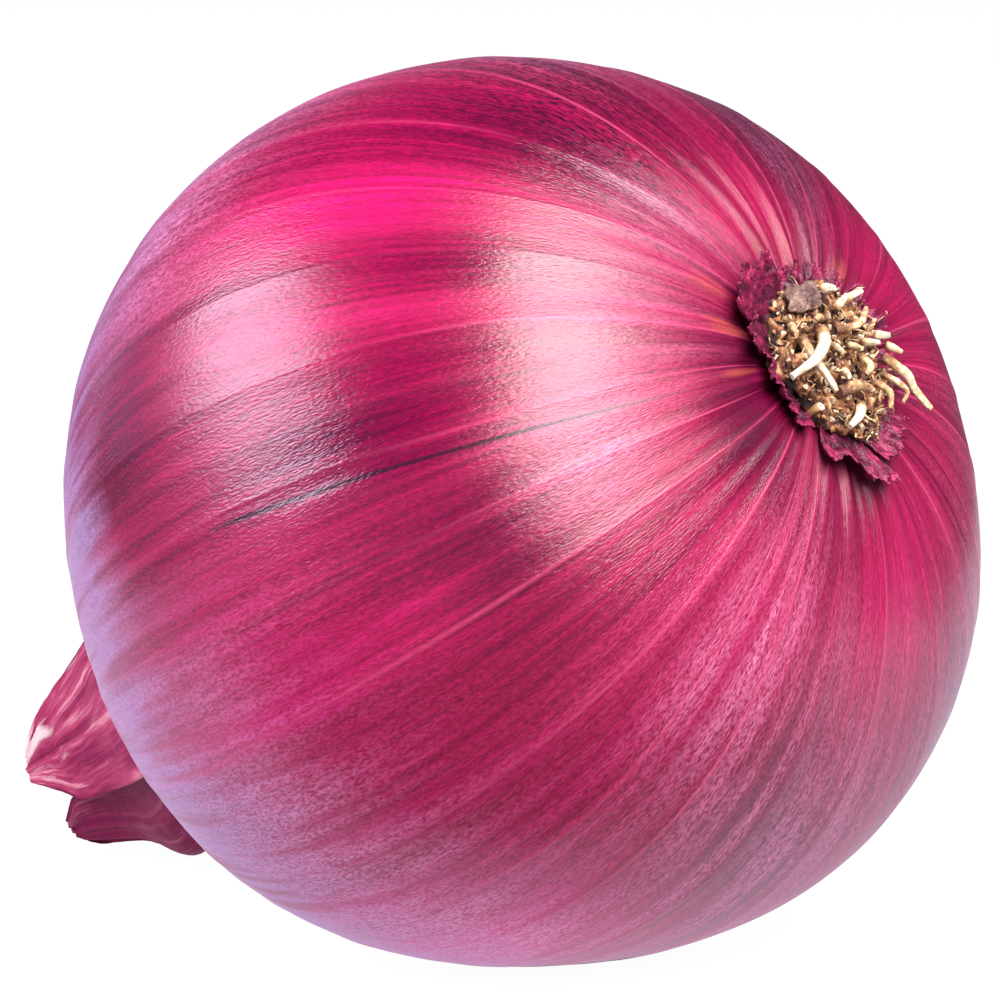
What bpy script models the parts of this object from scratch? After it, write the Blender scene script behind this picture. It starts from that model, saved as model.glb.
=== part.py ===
"""A red onion lying on its side: one grown bulb, its root plate, dried roots, torn skin and neck leaves.

Metres, +Z up. The onion rests at the origin on a small flat spot; its root end points towards +X and tips up.
Positions on the bulb are given as a distance from one of its two ends, measured over the skin, and a direction
round the axis, which is 0 on the upper side and 90 degrees on the -Y side.
"""

import math

import bmesh
import bpy
import numpy as np
from mathutils import Vector

MM = 0.001

# The bulb
BULB_RADIUS = 40.0 * MM  # half of the widest diameter
AXIS_TILT = math.radians(27)  # how far the root end tips up
FLATTENING = 0.031  # shortens the axis against the diameter
ROOT_FULLNESS = 0.019  # the neck half is this much fuller than the root half
SHOULDER_LOSS = 0.013  # rounds both ends off
FOUR_SIDED = 0.022  # the inner bulbs show as a faint squareness round the middle
FOUR_SIDED_TURN = math.radians(33)
LEAN = 0.011  # one flank of the root half is slightly fuller
LEAN_TURN = math.radians(173)
REST_SPOT_RADIUS = 8.0 * MM

# The hollow at the root end and the spout at the neck end
HOLLOW_DEPTH = 2.6 * MM
HOLLOW_WIDTH = 9.0 * MM
NECK_RISE = 12.0 * MM
NECK_WIDTH = 10.0 * MM

# The root plate, a corky disc in the hollow
PLATE_RADIUS = 8.0 * MM
PLATE_THICKNESS = 1.6 * MM
PLATE_RIM = 0.5 * MM

# Dried roots, torn skin and neck leaves
ROOT_THICKNESS = 1.0 * MM
FLAP_THICKNESS = 0.5 * MM
LEAF_THICKNESS = 0.6 * MM
GAP = 0.3 * MM  # between pieces that touch on the real onion

AXIS = Vector((math.cos(AXIS_TILT), 0, math.sin(AXIS_TILT)))
ACROSS = Vector((-math.sin(AXIS_TILT), 0, math.cos(AXIS_TILT)))  # direction 0 round the axis
TOWARDS = AXIS.cross(ACROSS)  # direction 90


def skin_radius(polar, turn):
    """Distance from the bulb's middle to its skin; polar is 0 at the root end and pi at the neck end."""
    c, s = math.cos(polar), math.sin(polar)
    second = (3 * c**2 - 1) / 2
    third = (5 * c**3 - 3 * c) / 2
    fourth = (35 * c**4 - 30 * c**2 + 3) / 8
    shape = 1 - FLATTENING * second - ROOT_FULLNESS * third - SHOULDER_LOSS * fourth
    shape += FOUR_SIDED * s**4 * math.cos(4 * (turn - FOUR_SIDED_TURN))
    shape += LEAN * s * c * math.cos(turn - LEAN_TURN)
    hollow = HOLLOW_DEPTH * math.exp(-((polar * BULB_RADIUS / HOLLOW_WIDTH) ** 2))
    neck = NECK_RISE * math.exp(-(((math.pi - polar) * BULB_RADIUS / NECK_WIDTH) ** 2))
    return BULB_RADIUS * shape - hollow + neck


def direction(polar, turn):
    """Unit vector from the bulb's middle at these angles."""
    side = math.cos(turn) * ACROSS + math.sin(turn) * TOWARDS
    return math.cos(polar) * AXIS + math.sin(polar) * side


def bulb_middle():
    """Where the middle sits when the lowest skin is trimmed to the rest spot, with the spot at the origin."""
    angles = [(p * 0.02, t * 0.02) for p in range(40, 118) for t in range(118, 197)]
    skin = [skin_radius(p, t) * direction(p, t) for p, t in angles]
    lowest = min(skin, key=lambda point: point.z)
    trim = REST_SPOT_RADIUS**2 / (2 * BULB_RADIUS)
    return Vector((-lowest.x, -lowest.y, -lowest.z - trim))


MIDDLE = bulb_middle()


def skin_point(polar, turn, lift=0.0):
    """A point this far above the skin."""
    return MIDDLE + (skin_radius(polar, turn) + lift) * direction(polar, turn)


def plate_top(away):
    """How far the root plate's upper face stands above the skin, this far from the axis."""
    share = min(away / PLATE_RADIUS, 1)
    return GAP + PLATE_RIM + PLATE_THICKNESS * math.sqrt(1 - share**2)


def crown_point(up, side, lift):
    """A point above the root plate: up and side are measured across the axis."""
    away = math.hypot(up, side)
    return skin_point(away / BULB_RADIUS, math.atan2(side, up), plate_top(away) + lift)


def smooth(points, steps):
    """Rows of numbers along a soft curve through the given rows."""
    rows = np.array(points, float)
    ends = [2 * rows[0] - rows[1]], [2 * rows[-1] - rows[-2]]
    held = np.vstack([ends[0], rows, ends[1]])
    out = []
    for a, b, c, d in zip(held, held[1:], held[2:], held[3:]):
        for t in np.arange(steps) / steps:
            bend = (2 * a - 5 * b + 4 * c - d) * t**2 + (3 * b - a - 3 * c + d) * t**3
            out.append(b + ((c - a) * t + bend) / 2)
    out.append(rows[-1])
    return np.array(out).tolist()


def new_collection(name):
    collection = bpy.data.collections.new(name)
    bpy.context.scene.collection.children.link(collection)
    return collection


def material(name, colour, roughness):
    made = bpy.data.materials.new(name)
    made.use_nodes = True
    shader = made.node_tree.nodes["Principled BSDF"]
    shader.inputs["Base Color"].default_value = (*colour, 1)
    shader.inputs["Roughness"].default_value = roughness
    shader.inputs["Metallic"].default_value = 0
    return made


def add(name, data, collection, made_of):
    thing = bpy.data.objects.new(name, data)
    data.materials.append(made_of)
    collection.objects.link(thing)
    return thing


def moved_ball(name, segments, rings, move, made_of):
    """A closed skin made by moving each vertex of a unit ball."""
    mesh = bpy.data.meshes.new(name)
    shell = bmesh.new()
    bmesh.ops.create_uvsphere(shell, u_segments=segments, v_segments=rings, radius=1)
    for vertex in shell.verts:
        vertex.co = move(vertex.co.copy())
    bmesh.ops.recalc_face_normals(shell, faces=shell.faces)
    for face in shell.faces:
        face.smooth = True
    shell.to_mesh(mesh)
    shell.free()
    return add(name, mesh, onion, made_of)


def papery(name, rows, thickness, made_of):
    """A sheet through a grid of points, thickened on its outer side only."""
    across = len(rows[0])
    points = [point for row in rows for point in row]
    faces = []
    for i in range(len(rows) - 1):
        for j in range(across - 1):
            first = i * across + j
            faces.append((first, first + 1, first + across + 1, first + across))
    mesh = bpy.data.meshes.new(name)
    mesh.from_pydata(points, [], faces)
    thing = add(name, mesh, onion, made_of)
    thick = thing.modifiers.new("thickness", "SOLIDIFY")
    thick.thickness = thickness
    thick.offset = 1
    return thing


def outward(rows, middle):
    """The rows in the order that faces a sheet away from a point."""
    corner, beside, beyond = rows[0][0], rows[0][1], rows[1][0]
    normal = (beside - corner).cross(beyond - corner)
    return rows if normal.dot(corner - middle) > 0 else [row[::-1] for row in rows]


def clear_scene():
    for thing in list(bpy.data.objects):
        bpy.data.objects.remove(thing, do_unlink=True)


clear_scene()
onion = new_collection("red_onion")
helpers = new_collection("cutters")

BULB_SKIN = material("bulb_skin", (0.42, 0.03, 0.14), 0.35)
CORK = material("root_plate_cork", (0.28, 0.15, 0.09), 0.9)
ROOT = material("dried_root", (0.72, 0.52, 0.32), 0.8)
TORN_SKIN = material("torn_skin", (0.36, 0.06, 0.11), 0.5)
NECK_SKIN = material("neck_leaf", (0.30, 0.02, 0.09), 0.45)


# The bulb: one ball moved to the bulb's own outline, then trimmed flat where it lies on the table.
def bulb_skin(co):
    polar = math.acos(max(-1.0, min(1.0, co.z)))
    return skin_point(polar, math.atan2(co.y, co.x))


bulb = moved_ball("bulb", 56, 38, bulb_skin, BULB_SKIN)

below = bpy.data.meshes.new("below_rest_spot")
block = bmesh.new()
bmesh.ops.create_cube(block, size=1)
bmesh.ops.scale(block, vec=(3 * BULB_RADIUS, 3 * BULB_RADIUS, BULB_RADIUS), verts=block.verts)
bmesh.ops.translate(block, vec=(0, 0, -BULB_RADIUS / 2), verts=block.verts)
block.to_mesh(below)
block.free()
cutter = bpy.data.objects.new("below_rest_spot", below)
helpers.objects.link(cutter)
cutter.hide_render = True
cutter.display_type = "WIRE"
trim = bulb.modifiers.new("rest_spot", "BOOLEAN")
trim.operation = "DIFFERENCE"
trim.solver = "EXACT"
trim.object = cutter


# The root plate: a ball flattened into the hollow, its edge uneven as the skins left it.
def plate_skin(co):
    share = min(math.hypot(co.x, co.y), 1)
    turn = math.atan2(co.y, co.x)
    uneven = 1 - 0.05 * (1 + math.sin(3 * turn + 1)) - 0.03 * (1 + math.sin(7 * turn))
    away = PLATE_RADIUS * share * uneven
    top = GAP + PLATE_RIM + PLATE_THICKNESS * max(co.z, 0)
    lift = top if co.z > -0.01 else GAP
    return skin_point(away / BULB_RADIUS, turn, lift)


moved_ball("root_plate", 28, 14, plate_skin, CORK)

# The dried roots: up, side and height off the plate in mm along each, then how thick it is against the
# usual root. The height is that of the root's underside.
ROOTS = [
    ([(1.9, 2.4, 0.6), (0.5, 4.2, 1.6), (-0.7, 6.4, 2.0), (-1.6, 9.0, 1.6)], 1.1),
    ([(1.9, 4.9, 0.1), (0.2, 4.4, 0.1), (-2.0, 4.3, 0.7), (-3.5, 4.2, 1.0)], 0.9),
    ([(-3.5, 2.8, 0.1), (-3.3, 0.4, 0.7), (-4.0, -1.6, 0.4)], 1.0),
    ([(-1.1, -5.3, 0.1), (-3.1, -6.2, 1.1), (-4.6, -7.0, 1.5), (-6.3, -7.9, 1.5)], 0.9),
    ([(-5.0, 0.4, 0.1), (-5.9, 2.3, 0.9), (-6.6, 3.8, 1.1)], 0.9),
    ([(-3.0, -2.5, 0.1), (-4.3, -3.0, 1.0), (-5.7, -2.6, 0.8)], 0.7),
    ([(2.0, -0.5, 0.1), (1.9, -2.5, 1.2), (3.3, -5.0, 0.7)], 0.7),
    ([(-1.6, 0.6, 0.1), (-2.1, 1.5, 0.8), (-2.6, 2.5, 1.7)], 0.7),
    ([(-0.8, -2.4, 0.1), (-2.0, -1.0, 1.5), (-2.6, 0.6, 2.2)], 0.8),
    ([(5.8, -0.8, 0.1), (5.2, -0.9, 1.2)], 0.9),
    ([(4.6, -3.4, 0.1), (4.7, -4.8, 1.2)], 0.7),
    ([(1.0, -5.4, 0.1), (0.4, -5.9, 1.2)], 0.8),
    ([(0.6, -3.5, 0.1), (-0.1, -4.0, 1.3)], 0.7),
    ([(0.5, -1.5, 0.1), (-0.4, -0.9, 1.6)], 0.7),
    ([(0.0, -6.9, 0.1), (-1.1, -7.3, 1.1)], 0.7),
    ([(-2.6, -4.5, 0.1), (-3.6, -4.3, 1.2), (-4.6, -4.9, 1.5), (-5.4, -4.7, 1.0)], 0.6),
    ([(3.2, 5.4, 0.1), (1.9, 6.4, 1.2)], 0.7),
    ([(3.2, 1.0, 0.1), (3.0, 2.6, 1.1), (2.6, 4.0, 1.6)], 0.7),
    ([(3.9, -1.6, 0.1), (4.5, -2.3, 1.3)], 0.7),
    ([(0.6, 0.9, 0.1), (0.2, 2.1, 1.3), (-0.6, 2.7, 2.2)], 0.7),
]


def dried_root(name, stops, share):
    """A thin round root that tapers to its tip."""
    half = ROOT_THICKNESS * share / 2
    stops = smooth(np.array(stops) * MM, 3)
    path = [crown_point(up, side, GAP + half + height) for up, side, height in stops]
    curve = bpy.data.curves.new(name, "CURVE")
    curve.dimensions = "3D"
    curve.bevel_depth = half
    curve.bevel_resolution = 1
    curve.use_fill_caps = True
    spline = curve.splines.new("POLY")
    spline.points.add(len(path) - 1)
    for number, (point, place) in enumerate(zip(spline.points, path)):
        point.co = (*place, 1)
        point.radius = 1 - 0.55 * (number / (len(path) - 1)) ** 2
    return add(name, curve, onion, ROOT)


for number, (stops, share) in enumerate(ROOTS, 1):
    dried_root(f"root_{number:02d}", stops, share)

# The torn skin round the plate, in order: middle direction and half spread in degrees, how far it reaches
# past the plate's edge and how high its torn end stands, in mm.
FLAP_START = PLATE_RADIUS + 0.4 * MM
FLAPS = [
    (4, 13, 1.8, 0.8),
    (31, 10, 3.2, 1.2),
    (52, 9, 4.5, 1.7),
    (72, 7, 4.2, 1.9),
    (88, 7, 2.8, 1.6),
    (105, 8, 2.4, 1.4),
    (123, 8, 2.0, 1.2),
    (155, 9, 3.0, 1.5),
    (176, 10, 4.8, 2.0),
    (197, 9, 3.2, 1.7),
    (217, 9, 2.4, 1.4),
    (258, 14, 1.8, 1.0),
    (296, 15, 2.4, 1.3),
    (333, 14, 2.0, 1.0),
]


def torn_flap(name, turn, spread, reach, height):
    """A tongue of skin held by the root plate; its ragged end curls up off the bulb."""
    rows = []
    for v in np.linspace(0, 1, 4).tolist():
        row = []
        for u in np.linspace(-1, 1, 8).tolist():
            torn = 0.32 * abs(math.sin(3.9 * u + turn)) + 0.12 * math.sin(9.0 * u + turn)
            away = FLAP_START + reach * MM * (1 - torn) * v
            lift = GAP + height * MM * v**1.5
            around = math.radians(turn + spread * u)
            row.append(skin_point(away / BULB_RADIUS, around, lift))
        rows.append(row)
    return papery(name, outward(rows, MIDDLE), FLAP_THICKNESS, TORN_SKIN)


for number, flap in enumerate(FLAPS, 1):
    torn_flap(f"skin_flap_{number:02d}", *flap)

# A grey flake of the plate's own bark, lifted at its upper left.
flake_rows = []
for up in np.linspace(4.4, 7.2, 5).tolist():
    sides = np.linspace(0.6, 4.6, 5).tolist()
    bent = [0.35 + 0.1 * (up - 4.4) + 0.12 * (side - 2.6) ** 2 for side in sides]
    trimmed = [side * (1 - 0.06 * (up - 4.4)) for side in sides]
    flake_rows.append([crown_point(up * MM, side * MM, h * MM) for side, h in zip(trimmed, bent)])
papery("bark_flake", outward(flake_rows, MIDDLE), FLAP_THICKNESS, CORK)

# The neck leaves fan out nearly upright, so each is half of a flattened tube round the spout. It starts
# round the spout and then goes through stations: distance past the bulb's neck end, height of the outer
# and of the inner edge, and depth of the inner edge, in mm.
FAN_TURN = math.radians(10.7)
FAN_UP = math.cos(FAN_TURN) * ACROSS + math.sin(FAN_TURN) * TOWARDS
FAN_OUT = math.cos(FAN_TURN) * TOWARDS - math.sin(FAN_TURN) * ACROSS
NECK_END = skin_radius(math.pi, 0) - NECK_RISE
LEAF_START = 4.6 * MM
EDGE_DEPTH = 0.8 * MM

LEAVES = {
    "neck_leaf_front_upper": [
        (11.0, 9.6, -2.6, 6.8),
        (15.5, 7.9, -4.3, 4.6),
        (20.0, 6.3, -4.6, 3.4),
        (24.3, 4.5, -4.0, 2.6),
        (27.2, 2.4, -2.2, 2.1),
        (29.8, 0.6, -0.8, 1.7),
    ],
    "neck_leaf_front_lower": [
        (11.0, -13.6, -4.2, 6.4),
        (15.5, -14.3, -5.5, 4.2),
        (18.6, -12.1, -6.0, 3.3),
        (21.0, -10.8, -6.1, 2.9),
        (25.0, -9.6, -6.0, 2.3),
        (28.9, -7.4, -6.2, 1.6),
    ],
    "neck_leaf_back_upper": [
        (11.0, 9.0, -1.0, -6.8),
        (18.0, 7.0, -2.0, -4.0),
        (24.0, 4.4, -2.0, -2.6),
        (28.0, 2.0, -1.2, -2.0),
        (30.4, 0.7, -0.3, -1.7),
    ],
    "neck_leaf_back_lower": [
        (11.0, -12.2, -2.4, -6.2),
        (17.0, -12.6, -3.4, -3.8),
        (22.0, -9.8, -4.2, -2.6),
        (27.0, -7.0, -4.8, -1.9),
    ],
}


def spout_radius(past):
    """How far the spout's skin is from the axis at a distance past the bulb's neck end."""
    near, far = 0.0, 0.6
    for _ in range(30):
        angle = (near + far) / 2
        if skin_radius(math.pi - angle, 0) * math.cos(angle) > NECK_END + past:
            near = angle
        else:
            far = angle
    return skin_radius(math.pi - near, 0) * math.sin(near)


def neck_point(past, up, out):
    """A point past the bulb's neck end, in the fan's own directions."""
    return MIDDLE - (NECK_END + past) * AXIS + up * FAN_UP + out * FAN_OUT


def neck_leaf(name, stations):
    """A dry leaf curved like a quarter of a tube, from the fan's edge in to its middle."""
    wrap = spout_radius(LEAF_START) + 3 * GAP
    upper = math.copysign(wrap, stations[0][1])
    front = math.copysign(wrap, stations[0][3])
    sections = [(LEAF_START, upper, 0.06 * upper, front), *(np.array(stations) * MM).tolist()]
    rows = []
    for past, outer, inner, depth in smooth(sections, 2):
        edge = math.copysign(EDGE_DEPTH, depth)
        row = []
        for u in np.linspace(0, math.pi / 2, 8).tolist():
            up = inner + (outer - inner) * math.cos(u)
            out = edge + (depth - edge) * math.sin(u)
            row.append(neck_point(past, up, out))
        rows.append(row)
    core = neck_point(LEAF_START, 0, 0)
    return papery(name, outward(rows, core), LEAF_THICKNESS, NECK_SKIN)


for name, stations in LEAVES.items():
    neck_leaf(name, stations)

# The innermost leaf lies flat in the fan's middle, past the tip of the spout. Per station: distance past
# that tip, and height of its upper and its lower edge, in mm.
INNER_LEAF = [(1.0, 3.4, -5.2), (6.0, 2.6, -6.2), (11.0, 1.2, -5.6), (15.0, -0.8, -4.0), (16.6, -1.8, -2.8)]
inner_rows = []
for past, high, low in smooth(np.array(INNER_LEAF) * MM, 2):
    ups = np.linspace(high, low, 6).tolist()
    inner_rows.append([neck_point(NECK_RISE + past, up, -LEAF_THICKNESS / 2) for up in ups])
papery("neck_leaf_inner", outward(inner_rows, MIDDLE - FAN_OUT), LEAF_THICKNESS, NECK_SKIN)
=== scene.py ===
# %% [markdown]
# # A red onion on a pale table
#
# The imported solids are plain: a smooth bulb, a corky disc, round-ended roots and plain sheets for the skins.
# This script keeps their places and grows the real surfaces over them: a pleated, veined and satin bulb,
# a matted root plate, dried roots, torn skin and papery neck leaves. Lengths are in metres, so a size in
# millimetres is written with MM after it.

# %% The fixed frame
import math

import bpy
import numpy as np
from mathutils import Matrix, Vector
from mathutils.bvhtree import BVHTree


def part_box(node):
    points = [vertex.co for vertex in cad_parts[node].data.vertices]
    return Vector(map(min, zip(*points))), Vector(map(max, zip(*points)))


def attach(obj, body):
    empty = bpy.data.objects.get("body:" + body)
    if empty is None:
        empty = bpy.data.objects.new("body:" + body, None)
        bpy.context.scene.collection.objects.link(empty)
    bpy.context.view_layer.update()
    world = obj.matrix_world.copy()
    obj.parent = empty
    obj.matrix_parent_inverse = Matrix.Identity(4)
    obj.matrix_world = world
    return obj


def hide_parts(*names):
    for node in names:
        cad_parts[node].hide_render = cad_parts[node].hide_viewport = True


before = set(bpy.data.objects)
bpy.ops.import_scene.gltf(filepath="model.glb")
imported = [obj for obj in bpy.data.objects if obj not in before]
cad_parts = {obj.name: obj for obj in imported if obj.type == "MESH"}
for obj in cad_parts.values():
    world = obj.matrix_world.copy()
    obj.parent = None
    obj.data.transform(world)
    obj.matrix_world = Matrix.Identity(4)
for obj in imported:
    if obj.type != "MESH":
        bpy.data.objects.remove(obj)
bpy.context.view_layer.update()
MM = 0.001
BODY = "root"

# %% [markdown]
# ## Which way the onion points
#
# Every part of an onion is arranged round one line, from the root plate to the neck. It would be possible to
# model upright and tip the result over at the end, but then the solids would not help with placing anything.
# So the line's own three directions are worked out first, and each piece is described with them: `polar` is
# the angle from the root end, 0 to 180 degrees, and `turn` goes round the line, with 0 on the upper side.

# %% The onion's own directions
AXIS_TILT = math.radians(27)
AXIS = Vector((math.cos(AXIS_TILT), 0, math.sin(AXIS_TILT)))
ACROSS = Vector((-math.sin(AXIS_TILT), 0, math.cos(AXIS_TILT)))
TOWARDS = AXIS.cross(ACROSS)
ONION_TURN = Matrix((ACROSS, TOWARDS, AXIS)).transposed()


def direction(polar, turn):
    """Unit vector from the bulb's middle, for two angles in degrees."""
    polar, turn = math.radians(polar), math.radians(turn)
    side = math.cos(turn) * ACROSS + math.sin(turn) * TOWARDS
    return math.cos(polar) * AXIS + math.sin(polar) * side


# %% [markdown]
# ## Small helpers for node trees
#
# Both the shapes and the finishes below are node trees. In Blender's editors a node is added, set and wired
# by hand. Here one function does those three things, which keeps each node to one line of code.


# %% Add one node
def add(tree, kind, inputs=None, stops=None, **settings):
    """Adds a node. Inputs go by socket name or number, and hold a value, a socket or another node.

    A colour ramp also takes its stops, as (position, colour code).
    """
    node = tree.nodes.new(kind)
    for name, value in settings.items():
        setattr(node, name, value)
    live = [socket for socket in node.inputs if socket.enabled]
    for key, value in (inputs or {}).items():
        socket = live[key] if isinstance(key, int) else next(s for s in live if s.name == key)
        if isinstance(value, bpy.types.Node):
            value = next(s for s in value.outputs if s.enabled)
        if isinstance(value, bpy.types.NodeSocket):
            tree.links.new(value, socket)
        else:
            socket.default_value = value
    if stops:
        elements = node.color_ramp.elements
        for element, (position, code) in zip(elements, (stops[0], stops[-1])):
            element.position, element.color = position, linear(code)
        for position, code in stops[1:-1]:
            elements.new(position).color = linear(code)
    return node


def linear(code, alpha=1.0):
    """The linear colour for an sRGB hex code."""
    channels = [int(code[i : i + 2], 16) / 255 for i in (1, 3, 5)]
    return (*[c / 12.92 if c <= 0.04045 else ((c + 0.055) / 1.055) ** 2.4 for c in channels], alpha)


def shape_tree(name, sizes):
    """A Geometry Nodes tree with one number input for each size, and its input and output nodes."""
    tree = bpy.data.node_groups.new(name, "GeometryNodeTree")
    tree.interface.new_socket("Geometry", in_out="INPUT", socket_type="NodeSocketGeometry")
    tree.interface.new_socket("Geometry", in_out="OUTPUT", socket_type="NodeSocketGeometry")
    for label, value in sizes.items():
        kind = {int: "NodeSocketInt", float: "NodeSocketFloat", tuple: "NodeSocketVector"}[type(value)]
        tree.interface.new_socket(label, in_out="INPUT", socket_type=kind).default_value = value
    return tree, tree.nodes.new("NodeGroupInput").outputs, tree.nodes.new("NodeGroupOutput").inputs


def end_shape(tree, geometry, material, result, rounded=True):
    """Ends a tree: shading, real geometry in place of instances, and the material."""
    shaded = add(tree, "GeometryNodeSetShadeSmooth", {"Geometry": geometry, "Shade Smooth": rounded})
    realized = add(tree, "GeometryNodeRealizeInstances", {"Geometry": shaded})
    finished = add(tree, "GeometryNodeSetMaterial", {"Geometry": realized, "Material": material})
    tree.links.new(finished.outputs[0], result[0])


def stretched_noise(tree, place, counts, detail):
    """Adds nodes for noise with this many cells to a unit of the place, in X, Y and Z."""
    stretched = add(tree, "ShaderNodeVectorMath", {0: place, 1: counts}, operation="MULTIPLY")
    return add(tree, "ShaderNodeTexNoise", {"Vector": stretched, "Scale": 1.0, "Detail": detail})


def new_object(name, data):
    thing = bpy.data.objects.new(name, data)
    bpy.context.scene.collection.objects.link(thing)
    return thing


def grow(name, tree, base=None, **sizes):
    """Runs a tree on a base mesh and returns the result as a plain mesh object."""
    thing = new_object(name, base or bpy.data.meshes.new(name + "_base"))
    modifier = thing.modifiers.new("grow", "NODES")
    modifier.node_group = tree
    for item in tree.interface.items_tree:
        if item.in_out == "INPUT" and item.name.replace(" ", "_") in sizes:
            modifier[item.identifier] = sizes[item.name.replace(" ", "_")]
    evaluated = thing.evaluated_get(bpy.context.evaluated_depsgraph_get())
    mesh = bpy.data.meshes.new_from_object(evaluated)
    mesh.name = name
    thing.modifiers.remove(modifier)
    thing.data = mesh
    return thing


# %% [markdown]
# ## Where the veins run
#
# Under the outer skin of a red onion a pale vein shows every 5 to 10 mm round the bulb, and each runs from
# the root plate to the neck. They could be painted as separate lines, but both the relief and the colour
# need them in the same place. So one curve turns the direction round the axis into a vein number, and both
# the shape and the finish ask it how near the next whole number is.

# %% Vein directions, in degrees round the axis
VEINS = [
    3, 17, 32, 45, 57, 71, 84, 97, 110, 127, 137, 148, 164, 180, 200, 214, 229, 246, 262, 279, 298, 313, 330, 346
]
VEIN_SWAY = 5.0  # degrees that a vein wanders
VEIN_RIDGE, VEIN_LINE = 2.6, 0.6  # width of a vein's relief and of its colour, in degrees


def vein_nearness(tree, run, turn, width):
    """Adds nodes that give 1 on a vein and 0 away from it; width is in degrees round the axis."""
    sway = add(tree, "ShaderNodeTexNoise", {"Vector": run, "Scale": 2.3, "Detail": 1.0})
    swung = add(tree, "ShaderNodeMath", {0: sway, 1: 2 * VEIN_SWAY, 2: turn}, operation="MULTIPLY_ADD")
    share = add(tree, "ShaderNodeMath", {0: swung, 1: 1 / 360}, operation="MULTIPLY")
    whole = add(tree, "ShaderNodeMath", {0: share, 1: 1.0, 2: 0.0}, operation="WRAP")
    curve = add(tree, "ShaderNodeFloatCurve", {"Value": whole})
    points = curve.mapping.curves[0].points
    stops = [(0.0, 0.0)] + [((v + VEIN_SWAY) / 360, (n + 0.5) / len(VEINS)) for n, v in enumerate(VEINS)]
    stops = [s for s in stops if s[0] < 1] + [(1.0, 1.0)]
    for place, height in stops[1:-1]:
        points.new(place, height)
    for point in points:
        point.handle_type = "VECTOR"
    curve.mapping.update()
    number = add(tree, "ShaderNodeMath", {0: curve, 1: float(len(VEINS))}, operation="MULTIPLY")
    off = add(tree, "ShaderNodeMath", {0: number}, operation="FRACT")
    centred = add(tree, "ShaderNodeMath", {0: off, 1: 0.5}, operation="SUBTRACT")
    distance = add(tree, "ShaderNodeMath", {0: centred}, operation="ABSOLUTE")
    edge = width / (360 / len(VEINS))
    return add(
        tree, "ShaderNodeMapRange", {0: distance, 1: 0.0, 2: edge, 3: 1.0, 4: 0.0}, interpolation_type="SMOOTHSTEP"
    )


# %% [markdown]
# ## The bulb's shape
#
# The bulb is one grown thing: nearly a ball, slightly squared round the middle by the inner bulbs, hollow
# at the root plate and drawn out into a spout at the neck. It could be sculpted or lofted from rings, but
# its shape follows a rule, so Geometry Nodes take a unit ball and push every point out to a radius worked
# out from its two angles. On top go the folds that gather at both ends, the veins and one long crease.

# %% The bulb's sizes
RADIUS = 40.0 * MM
FLATTENING, ROOT_FULLNESS, SHOULDER_LOSS = 0.031, 0.019, 0.013
SQUARENESS, SQUARE_TURN = 0.022, 33
LEAN, LEAN_TURN = 0.011, 173
HOLLOW_DEPTH, HOLLOW_WIDTH = 2.6 * MM, 9.0 * MM
NECK_RISE, NECK_WIDTH = 12.0 * MM, 10.0 * MM
# The crease: its direction one radian from the root end, how far it turns in each radian, and the middle
# and half length of its run from root to neck, all in degrees.
CREASE_TURN, CREASE_DRIFT, CREASE_MIDDLE, CREASE_REACH = 88, 5.0, 59, 22

# Folds and swellings: height, how many cross a turn, how many run root to neck, middle and half width of
# the belt they fill, in degrees from the root end.
FOLDS = [
    (0.75 * MM, 4.6, 1.2, 11, 9),
    (0.30 * MM, 9.0, 2.0, 18, 16),
    (0.90 * MM, 4.2, 1.5, 168, 17),
    (0.25 * MM, 10.0, 3.0, 160, 26),
    (0.30 * MM, 1.6, 2.0, 90, 60),
    (0.07 * MM, 6.0, 9.0, 90, 70),
]

# %% The bulb's tree
tree, given, result = shape_tree(
    "bulb", {"Segments": 360, "Rings": 250, "Middle": (0.0, 0.0, 0.0), "Rest height": -1.0}
)
ball = add(tree, "GeometryNodeMeshUVSphere", {0: given["Segments"], 1: given["Rings"], 2: 1.0})
unit = add(tree, "GeometryNodeInputPosition")
part_of = add(tree, "ShaderNodeSeparateXYZ", {0: unit}).outputs
turn = add(tree, "ShaderNodeMath", {0: part_of["Y"], 1: part_of["X"]}, operation="ARCTAN2")
polar = add(tree, "ShaderNodeMath", {0: part_of["Z"]}, operation="ARCCOSINE")
cosine = add(tree, "ShaderNodeMath", {0: turn}, operation="COSINE")
sine = add(tree, "ShaderNodeMath", {0: turn}, operation="SINE")
share = add(tree, "ShaderNodeMath", {0: polar, 1: 1 / math.pi}, operation="MULTIPLY")
run = add(tree, "ShaderNodeCombineXYZ", {0: cosine, 1: sine, 2: share})

# How long the radius is along the axis: a polynomial in the cosine of the polar angle.
radius = -35 / 8 * SHOULDER_LOSS
for factor in (
    -2.5 * ROOT_FULLNESS,
    -1.5 * FLATTENING + 30 / 8 * SHOULDER_LOSS,
    1.5 * ROOT_FULLNESS,
    1 + FLATTENING / 2 - 3 / 8 * SHOULDER_LOSS,
):
    radius = add(tree, "ShaderNodeMath", {0: radius, 1: part_of["Z"], 2: factor}, operation="MULTIPLY_ADD")

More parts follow.
